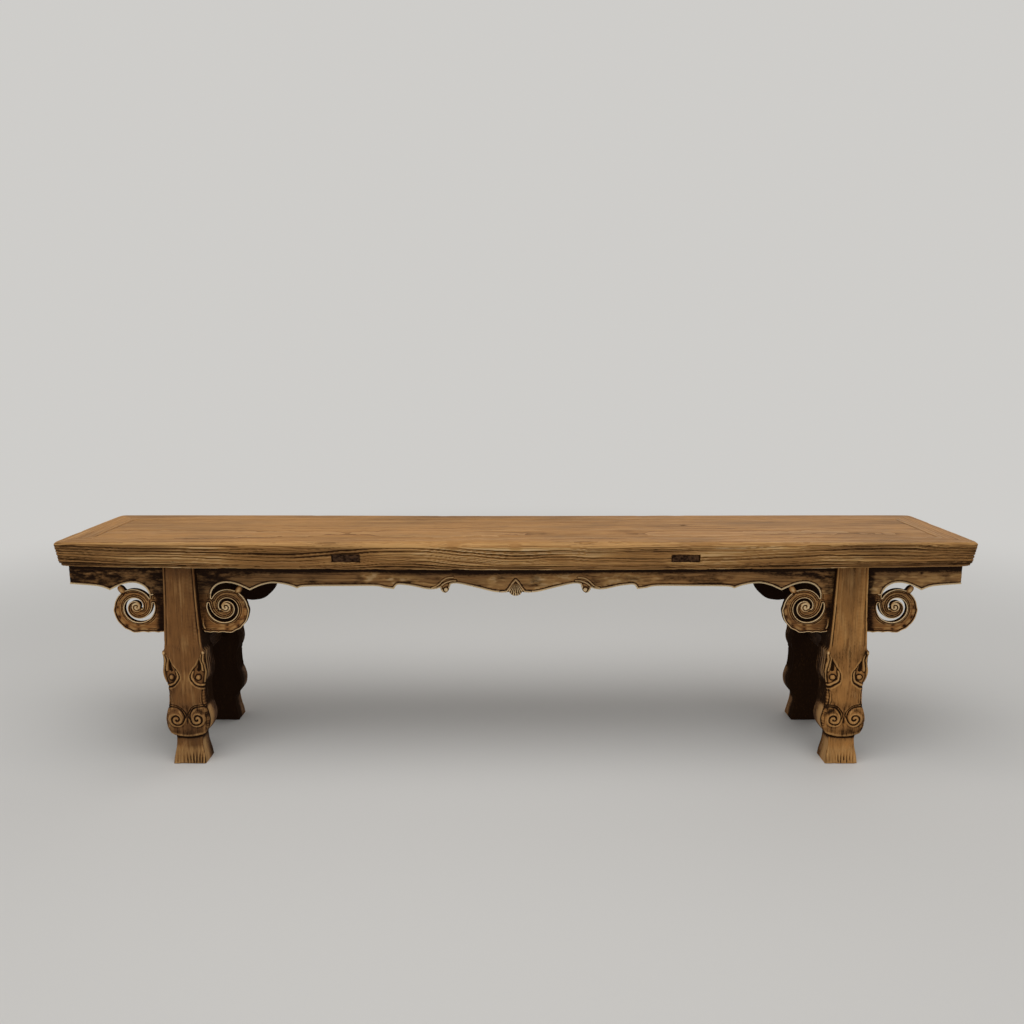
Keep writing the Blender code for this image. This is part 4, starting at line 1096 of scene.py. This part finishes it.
def scroll_edge(loop, direction, leg_x, reach, foot):
    """Lifts the foot of a spandrel's plate into shallow lobes that end in a rounded corner at the leg."""
    u = (loop[:, 0] - leg_x) * direction
    share = np.clip((u - FOOT_FROM) / (reach - FOOT_FROM), 0.0, 1.0)
    on_foot = (loop[:, 1] < foot + 0.0004) & (u < reach - 0.002)
    lift = 1.6 * np.abs(np.sin(3 * math.pi * share)) + FOOT_CORNER_LIFT * (1 - smoothstep(0.0, 0.15, share))
    passed = ~on_foot & (u < 0.001) & (loop[:, 1] < foot + FOOT_CORNER_LIFT * MM + 0.0004)
    moved = loop.copy()
    moved[on_foot, 1] += lift[on_foot] * MM
    return moved[~passed]


def beyond_tongue(points, direction, leg_x):
    """Which points of a scroll spandrel lie where it is thin."""
    return (points[:, 0] - leg_x) * direction > SCROLL_THIN_FROM


def make_spandrel(node, facing, side, kind):
    """A pierced scroll at the front, or a plain board at the back."""
    if facing > 0:
        carved_board(node, facing, plain_relief, BOARD_RINGS[1::2], PLAIN_GRID, elm_scroll)
        return
    reach = SCROLL_REACH[kind]
    at_leg = {"direction": side if kind == "outer" else -side, "leg_x": side * LEG_X}
    relief = partial(scroll_relief, reach=reach, **at_leg)
    adjust = partial(scroll_edge, reach=reach, foot=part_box(node)[0].z, **at_leg)
    carved_board(node, facing, relief, BOARD_RINGS, SCROLL_GRID, elm_scroll, adjust,
                 partial(beyond_tongue, **at_leg))


def make_aprons_and_spandrels():
    for word, facing in (("front", -1), ("back", 1)):
        carved_board(f"{word}_apron", facing, apron_relief, BOARD_RINGS, APRON_GRID, elm_apron,
                     fine=FINE_AREAS)
        for side_word, side in (("left", -1), ("right", 1)):
            for kind in SCROLL_REACH:
                make_spandrel(f"{word}_{side_word}_{kind}_spandrel", facing, side, kind)


# Legs. Tracks and places are in millimetres, across from the leg's axis and up from the floor.

# Heights with values: the radius to which edges are worn, the cut of the foot under the chin, old residue
# with painted shade, and the cut of the ankle at the back
LEG_EASE = ((0, 40, 62, 72, 100, 150, 190, 215, 270, 290, 300),
            (4.0, 4.0, 3.0, 6.0, 11.0, 12.0, 10.0, 7.0, 5.0, 3.0, 2.4))
FOOT_CUT = ((0.0, 0.012, 0.024, 0.040, 0.054, 0.066, 0.074), (0.0, 0.9, 2.4, 5.0, 6.6, 7.6, 8.4))
LEG_RESIDUE_AND_SHADE = ((0, 40, 60, 66, 78, 92, 118, 142, 160, 190, 240, 290, 330, 480),
               (0.00, 0.04, 0.14, 0.56, 0.44, 0.34, 0.32, 0.36, 0.14, 0.14, 0.16, 0.08, 0.06, 0.08))
ANKLE_CUT = ((0.0, 0.020, 0.048, 0.066, 0.077, 0.090), (0.0, 2.0, 6.0, 7.0, 1.5, 0.0))
# Leaf scroll: the border of its sunk field, two corners in metres that close the field outside the leg,
# and the rise and track of its ridges
LEAF_BORDER = ((43, 293), (40.5, 280), (35.5, 262), (27, 245), (18, 231.5), (12.4, 220), (13, 208.5),
               (18.5, 199.5), (27, 193), (36, 188.5), (50, 184.5))
LEAF_BEYOND = ((0.062, 0.1845), (0.062, 0.293))
LEAF_RIDGES = (
    (3.3, ((45, 203), (48.2, 214), (49.2, 228), (47.2, 243), (45.0, 258), (46.0, 274))),
    (2.9, ((19, 229), (16.8, 219.5), (18.2, 210), (23, 203), (30, 198.4), (38, 195.5), (48, 195))),
    (2.2, ((39.5, 270), (38.5, 258), (41.5, 243), (42.5, 231))),
)
LEAF_BOSS = (31.4, 214.8)
LEAF_TIP = (46.0, 275.5)
# Grooves down the body: depth, width, residue and track
BODY_GROOVES = (
    (1.5, 1.1, 0.8, ((39.5, 184), (37.6, 174), (36.8, 162), (38.2, 150), (42, 143))),
    (0.7, 0.9, 0.45, ((33.5, 180), (32, 168), (32.4, 156), (35.5, 147))),
)
# Volute: its middle, and its radius after quarter turns
VOLUTE_MIDDLE = (24.5, 112.5)
VOLUTE_RADII = ((-0.55, 0, 0.5, 1, 2, 3, 4, 5, 6.6), (36, 28.5, 20.5, 16.5, 14, 11, 8.2, 5.6, 2.2))
# Rows of points on a leg's side, as shares of the way to the fork, across it, and on to the back
SHARES_TO_FORK = (0.06, 0.2, 0.38, 0.57, 0.78, 1.0)
SHARES_OF_FORK = (0.25, 0.5, 0.75, 1.0)
SHARES_PAST_FORK = (0.3, 0.6, 0.85, 0.95)


def volute_lines():
    """The groove of a leg's volute, and the short line that runs beside its start."""
    quarter = np.linspace(VOLUTE_RADII[0][0], VOLUTE_RADII[0][-1], 260)
    radius = np.interp(quarter, *VOLUTE_RADII)
    angle = quarter * math.pi / 2

    def about_middle(radius):
        across = VOLUTE_MIDDLE[0] - radius * np.sin(angle)
        return np.column_stack((across, VOLUTE_MIDDLE[1] + radius * np.cos(angle))) * MM

    beside = about_middle(radius + 4.6 * smoothstep(1.25, 0.7, quarter))
    return about_middle(radius), beside[quarter < 1.25]


def groove(face, mirrored, strength, track, depth, width, darken):
    """Cuts a groove along a track, and gives the distances from it."""
    away = distances(mirrored, track)
    face.height = face.height - depth * strength * bump(away, width)
    face.darken(darken * bump(away, 0.95 * width * strength))
    face.lighten(0.12 * darken * bump(away - 2.6 * width, 0.9 * width))
    return away


def carve_leaf(face, mirrored, z, strength):
    """The leaf scrolls: a sunk field with ridges, a boss, a hollow shaped like a tear and a curled tip."""
    across, up = mirrored.T / MM
    border = line(*LEAF_BORDER)
    away = distances(mirrored, border)
    into = np.where(within(mirrored, np.vstack((border, LEAF_BEYOND))), away, -away)
    leaf = smoothstep(0.4, 2.2, into)
    begun = smoothstep(0.276, 0.246, z)
    face.height += begun * (0.7 * bump(into + 1.7, 1.5) - 3.0 * smoothstep(-0.5, 1.6, into))
    face.darken(0.70 * begun * bump(into - 1.0, 1.1 * strength))
    face.lighten(0.26 * begun * bump(into + 1.7, 1.4), keep=1 - 0.5 * leaf)
    for rise, ridge in LEAF_RIDGES:
        away = distances(mirrored, line(*ridge))
        face.height += rise * bump(away, 2.5) * leaf
        face.lighten(0.42 * bump(away, 1.9) * leaf)
        face.darken(0.50 * bump(away - 4.0, 1.2) * leaf)
    boss = np.hypot(across - LEAF_BOSS[0], up - LEAF_BOSS[1])
    face.height += 3.2 * dome(boss, 6.0) - 1.2 * bump(boss - 7.2, 1.2)
    face.darken(0.70 * bump(boss - 7.2, 1.2), keep=smoothstep(4.5, 6.5, boss))
    face.lighten(0.28 * smoothstep(5.5, 3.0, boss), keep=smoothstep(5.0, 7.5, boss))
    lower = np.clip((259.0 - up) / 32.0, 0.0, 1.0)
    half = 5.0 * np.sqrt(lower) * smoothstep(1.0, 0.88, lower) + 0.01
    tear = smoothstep(1.2, 0.7, np.abs(across - 32.0 - 3.4 * (1 - lower)) / half)
    tear = tear * (lower > 0.0) * (lower < 1.0)
    face.height -= 3.2 * tear
    face.darken(0.66 * tear)
    face.pale = face.pale * (1 - tear)
    tip = np.hypot(across - LEAF_TIP[0], up - LEAF_TIP[1])
    face.height += 2.4 * dome(tip, 4.6)
    face.lighten(0.5 * smoothstep(4.6, 2.6, tip))


def carve_volutes(face, mirrored, z, strength):
    """The grooves down the body, the volutes with a line beside each, and the chin under them."""
    across, up = mirrored.T / MM
    for depth, width, darken, track in BODY_GROOVES:
        groove(face, mirrored, strength, line(*track), depth, width, darken)
    spiral, beside = volute_lines()
    centre = np.hypot(across - VOLUTE_MIDDLE[0], up - VOLUTE_MIDDLE[1])
    face.height += 3.6 * dome(centre, 20.0) * smoothstep(0.145, 0.133, z)
    face.height -= 1.4 * bump(across, 4.0) * smoothstep(0.096, 0.106, z) * smoothstep(0.150, 0.130, z)
    away = groove(face, mirrored, strength, spiral, 3.0, 1.35, 0.85)
    band = bump(away - 4.2, 2.0) * smoothstep(25.0, 19.0, centre)
    face.height += 1.5 * band
    face.lighten(0.20 * band)
    groove(face, mirrored, strength, beside, 1.8, 1.1, 0.8)
    chin = window(0.064, 0.078, 0.088, 0.114, z)
    face.height += 2.2 * chin * (1 - (across / 52) ** 2)


def carve_foot(face, x, z, ax, seed):
    """The foot, cut in under the chin with a painted shadow there, with worn flutes towards the floor."""
    lip = 0.0676 + 0.0052 * (ax / 0.032) ** 2 + 0.0012 * (noise(x * 70, 0.5, seed + 2) - 0.5)
    under = smoothstep(lip + 0.0010, lip - 0.0016, z)
    face.height -= under * np.interp(z, *FOOT_CUT)
    # Painted shadow just under the chin, in the undercut.
    face.darken(under * 0.95 * smoothstep(lip - 0.010, lip - 0.002, z), keep=1 - under)
    face.lighten(0.3 * bump((z - lip - 0.004) / MM, 2.2) * (1 - under), keep=1 - 0.6 * under)
    worn = 0.15 + 0.85 * smoothstep(0.35, 0.7, noise(x * 45 + 7, z * 12, seed + 3))
    flute = smoothstep(0.036, 0.010, z) * worn
    comb = 0.5 - 0.5 * np.cos(x / MM * 2 * math.pi / 7.0 + 5.0 * noise(x * 40, z * 30, seed + 4))
    face.height -= 1.9 * flute * comb * smoothstep(0.0, 0.004, z)
    face.darken(0.62 * flute * comb ** 3)
    face.lighten(0.36 * smoothstep(0.055, 0.030, z) * (1 - flute * comb))


def weather_leg(face, x, z, up, edge, seed):
    """Worn grain, nicks along the edges, old residue and painted shade, stains and rubbed patches."""
    plain = smoothstep(2.0, 5.0, edge)
    check = weathering(z, x, seed, 0.0092)
    face.height -= plain * (0.16 * check + 0.9 * fractal(x * 40, z * 14, seed + 6))
    face.height -= 1.6 * smoothstep(0.66, 0.92, noise(x * 55, z * 70, seed + 12)) * smoothstep(5.0, 1.0, edge)
    face.darken(plain * 0.16 * smoothstep(0.4, 0.9, check))
    grime = fractal(x * 30, z * 18, seed + 8)
    darken = smoothstep(0.50, 0.76, fractal(x * 34, z * 15, seed + 15, 4))
    mottle = fractal(x * 75, z * 55, seed + 21)
    # Residue and painted shade by height, darkest round the chin and the volutes.
    settled_and_shaded = np.interp(up, *LEG_RESIDUE_AND_SHADE)
    # Painted shade along the rounded edges of the carved middle of the leg.
    rounded_edge_shade = smoothstep(10.0, 3.0, edge) * smoothstep(0.076, 0.090, z) * smoothstep(0.285, 0.260, z)
    dark = face.dark + settled_and_shaded * (0.55 + 0.9 * grime) + 0.30 * (mottle - 0.45)
    dark = dark + 0.22 * rounded_edge_shade * (0.4 + mottle) + 0.26 * darken
    # Darker towards the head of the leg.
    dark = dark + 0.40 * smoothstep(0.455, 0.486, z) * grime
    face.dark = np.clip(dark, 0.0, 1.0)
    rubbed_and_lit = smoothstep(0.48, 0.70, fractal(x * 26 + 5, z * 10, seed + 18, 4))
    face.lighten(0.22 * rubbed_and_lit * plain, keep=0.7 + 0.6 * grime)


def leg_relief(points, edge, seed):
    """Beaded shaft, leaf scrolls, pear-shaped body, volutes, chin and fluted foot of a leg."""
    x, z = points.T
    wander = smoothstep(0.300, 0.285, z) * MM
    mirrored = np.column_stack((np.abs(x) + 2.6 * wander * (noise(x * 70 + 3, z * 70, seed + 31) - 0.5),
                                z + 2.6 * wander * (noise(x * 70 + 9, z * 70, seed + 37) - 0.5)))
    across, up = mirrored.T / MM
    strength = 0.65 + 0.7 * noise(x * 110, z * 110, seed + 41)
    ease = np.interp(up, *LEG_EASE)
    height = -0.85 * ease * (1 - dome(np.maximum(1 - edge / ease, 0.0)))
    height -= 1.2 * smoothstep(0.300, 0.270, z) * smoothstep(0.0, 0.03, z)
    shaft = smoothstep(0.284, 0.300, z)
    height += shaft * (0.6 * (1 - (across / 37) ** 2) - 1.4 * bump(edge - 5.4, 1.1))
    body = window(0.134, 0.158, 0.184, 0.226, z)
    height += body * (2.8 - 5.5 * (across / 44) ** 2)
    broken = smoothstep(0.3, 0.5, noise(x * 9, z * 14, seed + 44))
    face = Carving(height, shaft * 0.80 * bump(edge - 5.4, 1.2) * broken,
                   0.26 * smoothstep(3.2, 0.8, edge) * noise(x * 40, z * 30, seed + 43))
    face.lighten(shaft * 0.48 * bump(edge - 2.6, 1.8) * noise(x * 9 + 4, z * 17, seed + 45))
    carve_leaf(face, mirrored, z, strength)
    carve_volutes(face, mirrored, z, strength)
    carve_foot(face, x, z, mirrored[:, 0], seed)
    weather_leg(face, x, z, up, edge, seed)
    return face


def leg_side(up, depth, seed):
    """How far in a leg's sawn side is cut, its residue and wear with painted shade and highlights, by height
    and depth behind the face.
    """
    leaf = window(0.203, 0.215, 0.274, 0.290, up)
    body = window(0.135, 0.150, 0.192, 0.207, up)
    volute = window(0.076, 0.090, 0.134, 0.147, up)
    foot = smoothstep(0.066, 0.050, up)
    veins = 0.5 - 0.5 * np.cos(2 * math.pi * (depth / 11.0 + 1.3 * noise(up * 22, 0.5, seed)))
    veins = veins * smoothstep(3.0, 8.0, depth) * leaf
    hollow = body * smoothstep(4.0, 16.0, depth) * smoothstep(58.0, 46.0, depth)
    rear = smoothstep(22.0, 48.0, depth)
    shade = fractal(up * 45, depth / 9.0, seed + 20)
    carved = np.maximum(np.maximum(leaf, volute), foot)
    # Sides dark with painted shade, most at the body and towards the back; the leaf, volute and foot zones
    # lighter, with painted highlights near the face.
    dark = 0.86 - carved * (0.72 - 0.45 * rear) + 0.6 * veins + 0.4 * (shade - 0.5)
    pale = carved * (0.46 * (1 - rear) + 0.3 * (shade - 0.5)) * (1 - veins)
    return 1.5 * veins + 3.0 * hollow, dark, pale


def leg_loop(node, facing, axis, fork_foot):
    """Close outline of a leg about its axis, the same on both sides, with a point at the fork's foot."""
    loop = outline_loops(node, facing)[0]
    half = loop[(loop[:, 0] > axis + 1e-4)] - (axis, 0.0)
    half = half[np.argsort(half[:, 1], kind="stable")]
    side = resampled(half, OUTLINE_STEP, closed=False)
    side = side[np.abs(side[:, 1] - fork_foot) > 0.0006]
    fork_half_width = np.interp(fork_foot, side[:, 1], side[:, 0])
    side = np.insert(side, np.searchsorted(side[:, 1], fork_foot), (fork_half_width, fork_foot), axis=0)
    across = np.linspace(-1, 1, 28)[1:-1]
    head = np.column_stack((-across * side[-1, 0], np.full(len(across), half[-1, 1])))
    sole = np.column_stack((across * side[0, 0], np.zeros(len(across))))
    return np.vstack((side, head, side[::-1] * (-1, 1), sole)), half[-1, 1]


def leg_grid(up):
    return LEG_CARVED_GRID if up < LEG_SHAFT_FROM else LEG_SHAFT_GRID


def make_leg(node, facing, seed, material, rubbed_and_lit):
    """A carved leg: its front and back face, its sawn sides, and the fork that holds apron and spandrels."""
    low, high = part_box(node)
    axis = (low.x + high.x) / 2
    foot_y = np.abs(low.y if facing < 0 else high.y)
    apron_low, apron_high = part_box("front_apron")
    fork_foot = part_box("front_left_inner_spandrel")[0].z - FORK_SPARE
    loop, top = leg_loop(node, facing, axis, fork_foot)
    points, triangles, rims = fill([loop], inside_points([loop], LEG_RINGS, leg_grid))
    edge = distances(points, resampled(loop, CLOSE_STEP, corner=-1.0))
    outer_plane = foot_y - LEG_LEAN * points[:, 1] / top
    front = leg_relief(points, edge, seed)
    front.shade(triangles, *LEG_SHADING)
    outer_y = outer_plane + front.height * MM
    plain_inside = inside_points([loop], LEG_RINGS[1:5:2], lambda up: LEG_REAR_GRID)
    plain, plain_triangles, _ = fill([loop], plain_inside)
    plain_edge = distances(plain, loop)
    eased = 2.0 * (1 - dome(np.maximum(1 - plain_edge / 2.4, 0.0)))
    inner_y = (foot_y - LEG_LEAN * plain[:, 1] / top - LEG_DEPTH
               + (np.interp(plain[:, 1], *ANKLE_CUT) + eased) * MM)
    start = len(points)
    rim = rims[0]
    count = len(rim)
    verts = [np.column_stack((points[:, 0] + axis, facing * outer_y, points[:, 1])),
             np.column_stack((plain[:, 0] + axis, facing * inner_y, plain[:, 1]))]
    # The plain inner face is dark with residue and painted shade.
    darks = [front.dark, np.full(len(plain), 0.85)]
    pales = [front.pale, np.zeros(len(plain))]
    faces = triangles.tolist() + (plain_triangles + start).tolist()
    fork_outer = abs(apron_low.y) + FORK_SPARE
    fork_inner = abs(apron_high.y) - FORK_SPARE
    front_y = outer_y[:count]
    back_y = inner_y[:count]
    levels = [front_y + (fork_outer - front_y) * share for share in SHARES_TO_FORK]
    levels += [np.full(count, fork_outer + (fork_inner - fork_outer) * share) for share in SHARES_OF_FORK]
    levels += [fork_inner + (back_y - fork_inner) * share for share in SHARES_PAST_FORK]
    last_before_fork = len(SHARES_TO_FORK)
    first_past_fork = last_before_fork + len(SHARES_OF_FORK)
    straight = (0, last_before_fork - 1, first_past_fork - 1, len(levels) - 1)
    sawn = (loop[:, 1] > 0.002) & (loop[:, 1] < top - 0.002)
    rows = [rim]
    following = start + len(plain)
    for number, level in enumerate(levels):
        behind = (outer_plane[:count] - level) / MM
        cut, side_dark, side_pale = leg_side(loop[:, 1], behind, seed)
        moved = np.sign(loop[:, 0]) * cut * sawn * (number not in straight) * MM
        verts.append(np.column_stack((loop[:, 0] - moved + axis, facing * level, loop[:, 1])))
        # The first row behind the face is a little lighter; the back legs' low share darkens their sides with
        # painted shade, as under the bench, and takes most of their paleness.
        darks.append(side_dark - (0.25 if number == 0 else 0.0) + 0.5 * (1 - rubbed_and_lit))
        pales.append(rubbed_and_lit * (side_pale + (0.08 if number == 0 else 0.0)))
        rows.append(np.arange(following, following + count))
        following += count
    rows.append(np.arange(start, start + count))
    forked = np.flatnonzero(loop[:, 1] > fork_foot - 1e-6)
    open_from = set(forked[:-1].tolist())
    for number in range(len(rows) - 1):
        strip = wall(rows[number], rows[number + 1])
        if last_before_fork <= number < first_past_fork:
            strip = [face for place, face in enumerate(strip) if place not in open_from]
        faces += strip
    faces.append(rows[last_before_fork][forked].tolist())
    faces.append(rows[first_past_fork][forked].tolist())
    between = range(last_before_fork, first_past_fork + 1)
    floor = [int(rows[number][forked[0]]) for number in reversed(between)]
    faces.append(floor + [int(rows[number][forked[-1]]) for number in between])
    return make_piece(node + "_carved", np.vstack(verts), faces, material, node,
                      np.concatenate(darks), np.concatenate(pales), sharp=60)


def make_legs():
    for word, facing in (("front", -1), ("back", 1)):
        for number, (side_word, material) in enumerate((("left", elm_leg_left), ("right", elm_leg_right))):
            seed = 501 + 40 * number + 17 * (facing + 1)
            # Back legs get a share of 0.3: painted shade on their sides, under the bench.
            make_leg(f"{word}_{side_word}_leg", facing, seed, material, 1.0 if facing < 0 else 0.3)


# Smaller pieces

# Plain members, one at each end: size of the even mesh, seed, and how dark with residue, the side stretchers'
# also with painted shade
PLAIN_MEMBERS = (("batten", 0.0024, 701, 0.45), ("end_apron", 0.0028, 721, 0.30),
                 ("side_stretcher", 0.0022, 741, 0.60))
PEG_SIDES = 24
PEG_PROUD = 0.0006


def weathered_copy(node, voxel, seed, material, dark_level):
    """A worn copy of a plain member: rounded edges and shallow dents along its length."""
    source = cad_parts[node].data.copy()
    rough = bpy.data.objects.new(node + "_rough", source)
    scene.collection.objects.link(rough)
    shape = bmesh.new()
    shape.from_mesh(source)
    bmesh.ops.remove_doubles(shape, verts=shape.verts, dist=1e-6)
    shape.to_mesh(source)
    shape.free()
    remesh = rough.modifiers.new("even", "REMESH")
    remesh.mode = "VOXEL"
    remesh.voxel_size = voxel
    bpy.context.view_layer.update()
    made = bpy.data.meshes.new_from_object(rough.evaluated_get(bpy.context.evaluated_depsgraph_get()))
    bpy.data.objects.remove(rough)
    count = len(made.vertices)
    place = np.zeros(count * 3)
    made.vertices.foreach_get("co", place)
    place = place.reshape(-1, 3)
    way = np.array([vertex.normal for vertex in made.vertices])
    dent = fractal((place[:, 0] + place[:, 2]) * 60, place[:, 1] * 14, seed)
    end = smoothstep(0.160, 0.168, np.abs(place[:, 1]))
    torn = fractal(place[:, 0] * 170, place[:, 2] * 320, seed + 5)
    side = 1 - smoothstep(0.5, 0.8, way[:, 2])
    place -= way * (side * (0.9 * dent + 3.4 * end * np.maximum(torn - 0.35, 0.0)) * MM)[:, None]
    faces = [list(polygon.vertices) for polygon in made.polygons]
    dark = dark_level + 0.4 * (dent - 0.5) + end * (1.5 * torn - 0.75)
    return make_piece(node + "_worn", place, faces, material, node, dark, np.zeros(count), sharp=80)


def make_peg(node, seed):
    """A round peg with a slightly domed, uneven end."""
    low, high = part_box(node)
    front = -1 if low.y < 0 else 1
    radius = (high.x - low.x) / 2
    middle = ((low.x + high.x) / 2, (low.z + high.z) / 2)
    outer = max(abs(low.y), abs(high.y)) + PEG_PROUD
    inner = min(abs(low.y), abs(high.y))
    rings = ((inner, 0.94), (outer - 0.0012, 1.0), (outer - 0.0003, 0.9), (outer, 0.55),
             (outer + 0.0001, 0.2))
    verts = []
    for depth, share in rings:
        for step in range(PEG_SIDES):
            angle = 2 * math.pi * step / PEG_SIDES
            ragged = 1 + 0.05 * math.sin(3 * angle + seed) * (share > 0.3)
            verts.append((middle[0] + radius * share * ragged * math.cos(angle), front * depth,
                          middle[1] + radius * share * ragged * math.sin(angle)))
    faces = []
    for ring in range(len(rings) - 1):
        row = np.arange(ring * PEG_SIDES, (ring + 1) * PEG_SIDES)
        faces += wall(row, row + PEG_SIDES)
    faces += [list(range(PEG_SIDES)), list(range((len(rings) - 1) * PEG_SIDES, len(rings) * PEG_SIDES))]
    dark = np.full(len(verts), 0.75)
    pale = np.zeros(len(verts))
    return make_piece(node + "_worn", verts, faces, elm_peg, node, dark, pale, sharp=70)


def make_small_pieces():
    for number, word in enumerate(("left", "right")):
        for member, voxel, seed, dark_level in PLAIN_MEMBERS:
            weathered_copy(f"{word}_{member}", voxel, seed + number, elm_inside, dark_level)
        for depth_number, depth_word in enumerate(("front", "back")):
            make_peg(f"{depth_word}_{word}_leg_peg", number + 2 * depth_number)


# Stage, light and camera

def seen_ray(tree):
    """1 for rays that show the background: straight, mirrored or passed through."""
    path = add(tree, "LightPath")
    shown = maths(tree, "MAXIMUM", path.outputs["Is Camera Ray"], path.outputs["Is Glossy Ray"])
    return maths(tree, "MAXIMUM", shown, path.outputs["Is Transmission Ray"])


def make_floor():
    """A wide pale floor that fades, for the eye, into the background far from the bench."""
    mesh = bpy.data.meshes.new("floor")
    reach = 30.0
    mesh.from_pydata([(-reach, -reach, 0), (reach, -reach, 0), (reach, reach, 0), (-reach, reach, 0)], [],
                     [(0, 1, 2, 3)])
    floor = bpy.data.objects.new("floor", mesh)
    scene.collection.objects.link(floor)
    material = bpy.data.materials.new("pale_floor")
    material.use_nodes = True
    tree = material.node_tree
    shader = tree.nodes["Principled BSDF"]
    shader.inputs["Base Color"].default_value = (0.70, 0.69, 0.67, 1.0)
    shader.inputs["Roughness"].default_value = 0.9
    shader.inputs["Specular IOR Level"].default_value = 0.1
    place = add(tree, "NewGeometry").outputs["Position"]
    away = add(tree, "VectorMath", {0: place}, operation="LENGTH").outputs["Value"]
    fade = add(tree, "MapRange", {"Value": away, "From Min": 1.1, "From Max": 3.6},
               interpolation_type="SMOOTHSTEP").outputs["Result"]
    fade = maths(tree, "MULTIPLY", fade, seen_ray(tree))
    far = add(tree, "Emission", {"Color": BACKGROUND, "Strength": 1.0})
    blend = add(tree, "MixShader", {0: fade, 1: shader.outputs[0], 2: far.outputs[0]})
    tree.links.new(blend.outputs[0], tree.nodes["Material Output"].inputs["Surface"])
    mesh.materials.append(material)


def make_lamp(name, place, target, size, power):
    lamp = bpy.data.lights.new(name, "AREA")
    lamp.shape = "RECTANGLE"
    lamp.size, lamp.size_y = size
    lamp.energy = power
    holder = bpy.data.objects.new(name, lamp)
    holder.location = place
    holder.rotation_euler = (Vector(target) - Vector(place)).to_track_quat("-Z", "Y").to_euler()
    scene.collection.objects.link(holder)


def make_light():
    world = bpy.data.worlds.new("studio")
    world.use_nodes = True
    scene.world = world
    tree = world.node_tree
    tree.nodes.clear()
    soft = add(tree, "Background", {"Color": (1.0, 0.98, 0.95, 1.0), "Strength": 0.30})
    seen = add(tree, "Background", {"Color": BACKGROUND, "Strength": 1.0})
    blend = add(tree, "MixShader", {0: seen_ray(tree), 1: soft.outputs[0], 2: seen.outputs[0]})
    output = add(tree, "OutputWorld")
    tree.links.new(blend.outputs[0], output.inputs["Surface"])
    make_lamp("key", (-0.25, -0.95, 3.1), (0.0, -0.05, 0.4), (4.0, 2.6), 68.0)
    make_lamp("fill", (1.8, 2.4, 2.6), (0.0, 0.0, 0.4), (3.0, 2.0), 14.0)


def make_camera():
    camera = bpy.data.cameras.new("photo_camera")
    camera.sensor_width = SENSOR_MM
    camera.lens = SENSOR_MM * FOCAL_PIXELS / FRAME_PIXELS
    holder = bpy.data.objects.new("photo_camera", camera)
    holder.location = CAMERA_PLACE
    holder.rotation_euler = (math.pi / 2 - CAMERA_TILT, 0.0, 0.0)
    scene.collection.objects.link(holder)
    scene.camera = holder


make_frame()
make_panel()
make_aprons_and_spandrels()
make_legs()
make_small_pieces()
make_floor()
make_light()
make_camera()
scene.view_settings.view_transform = "Standard"
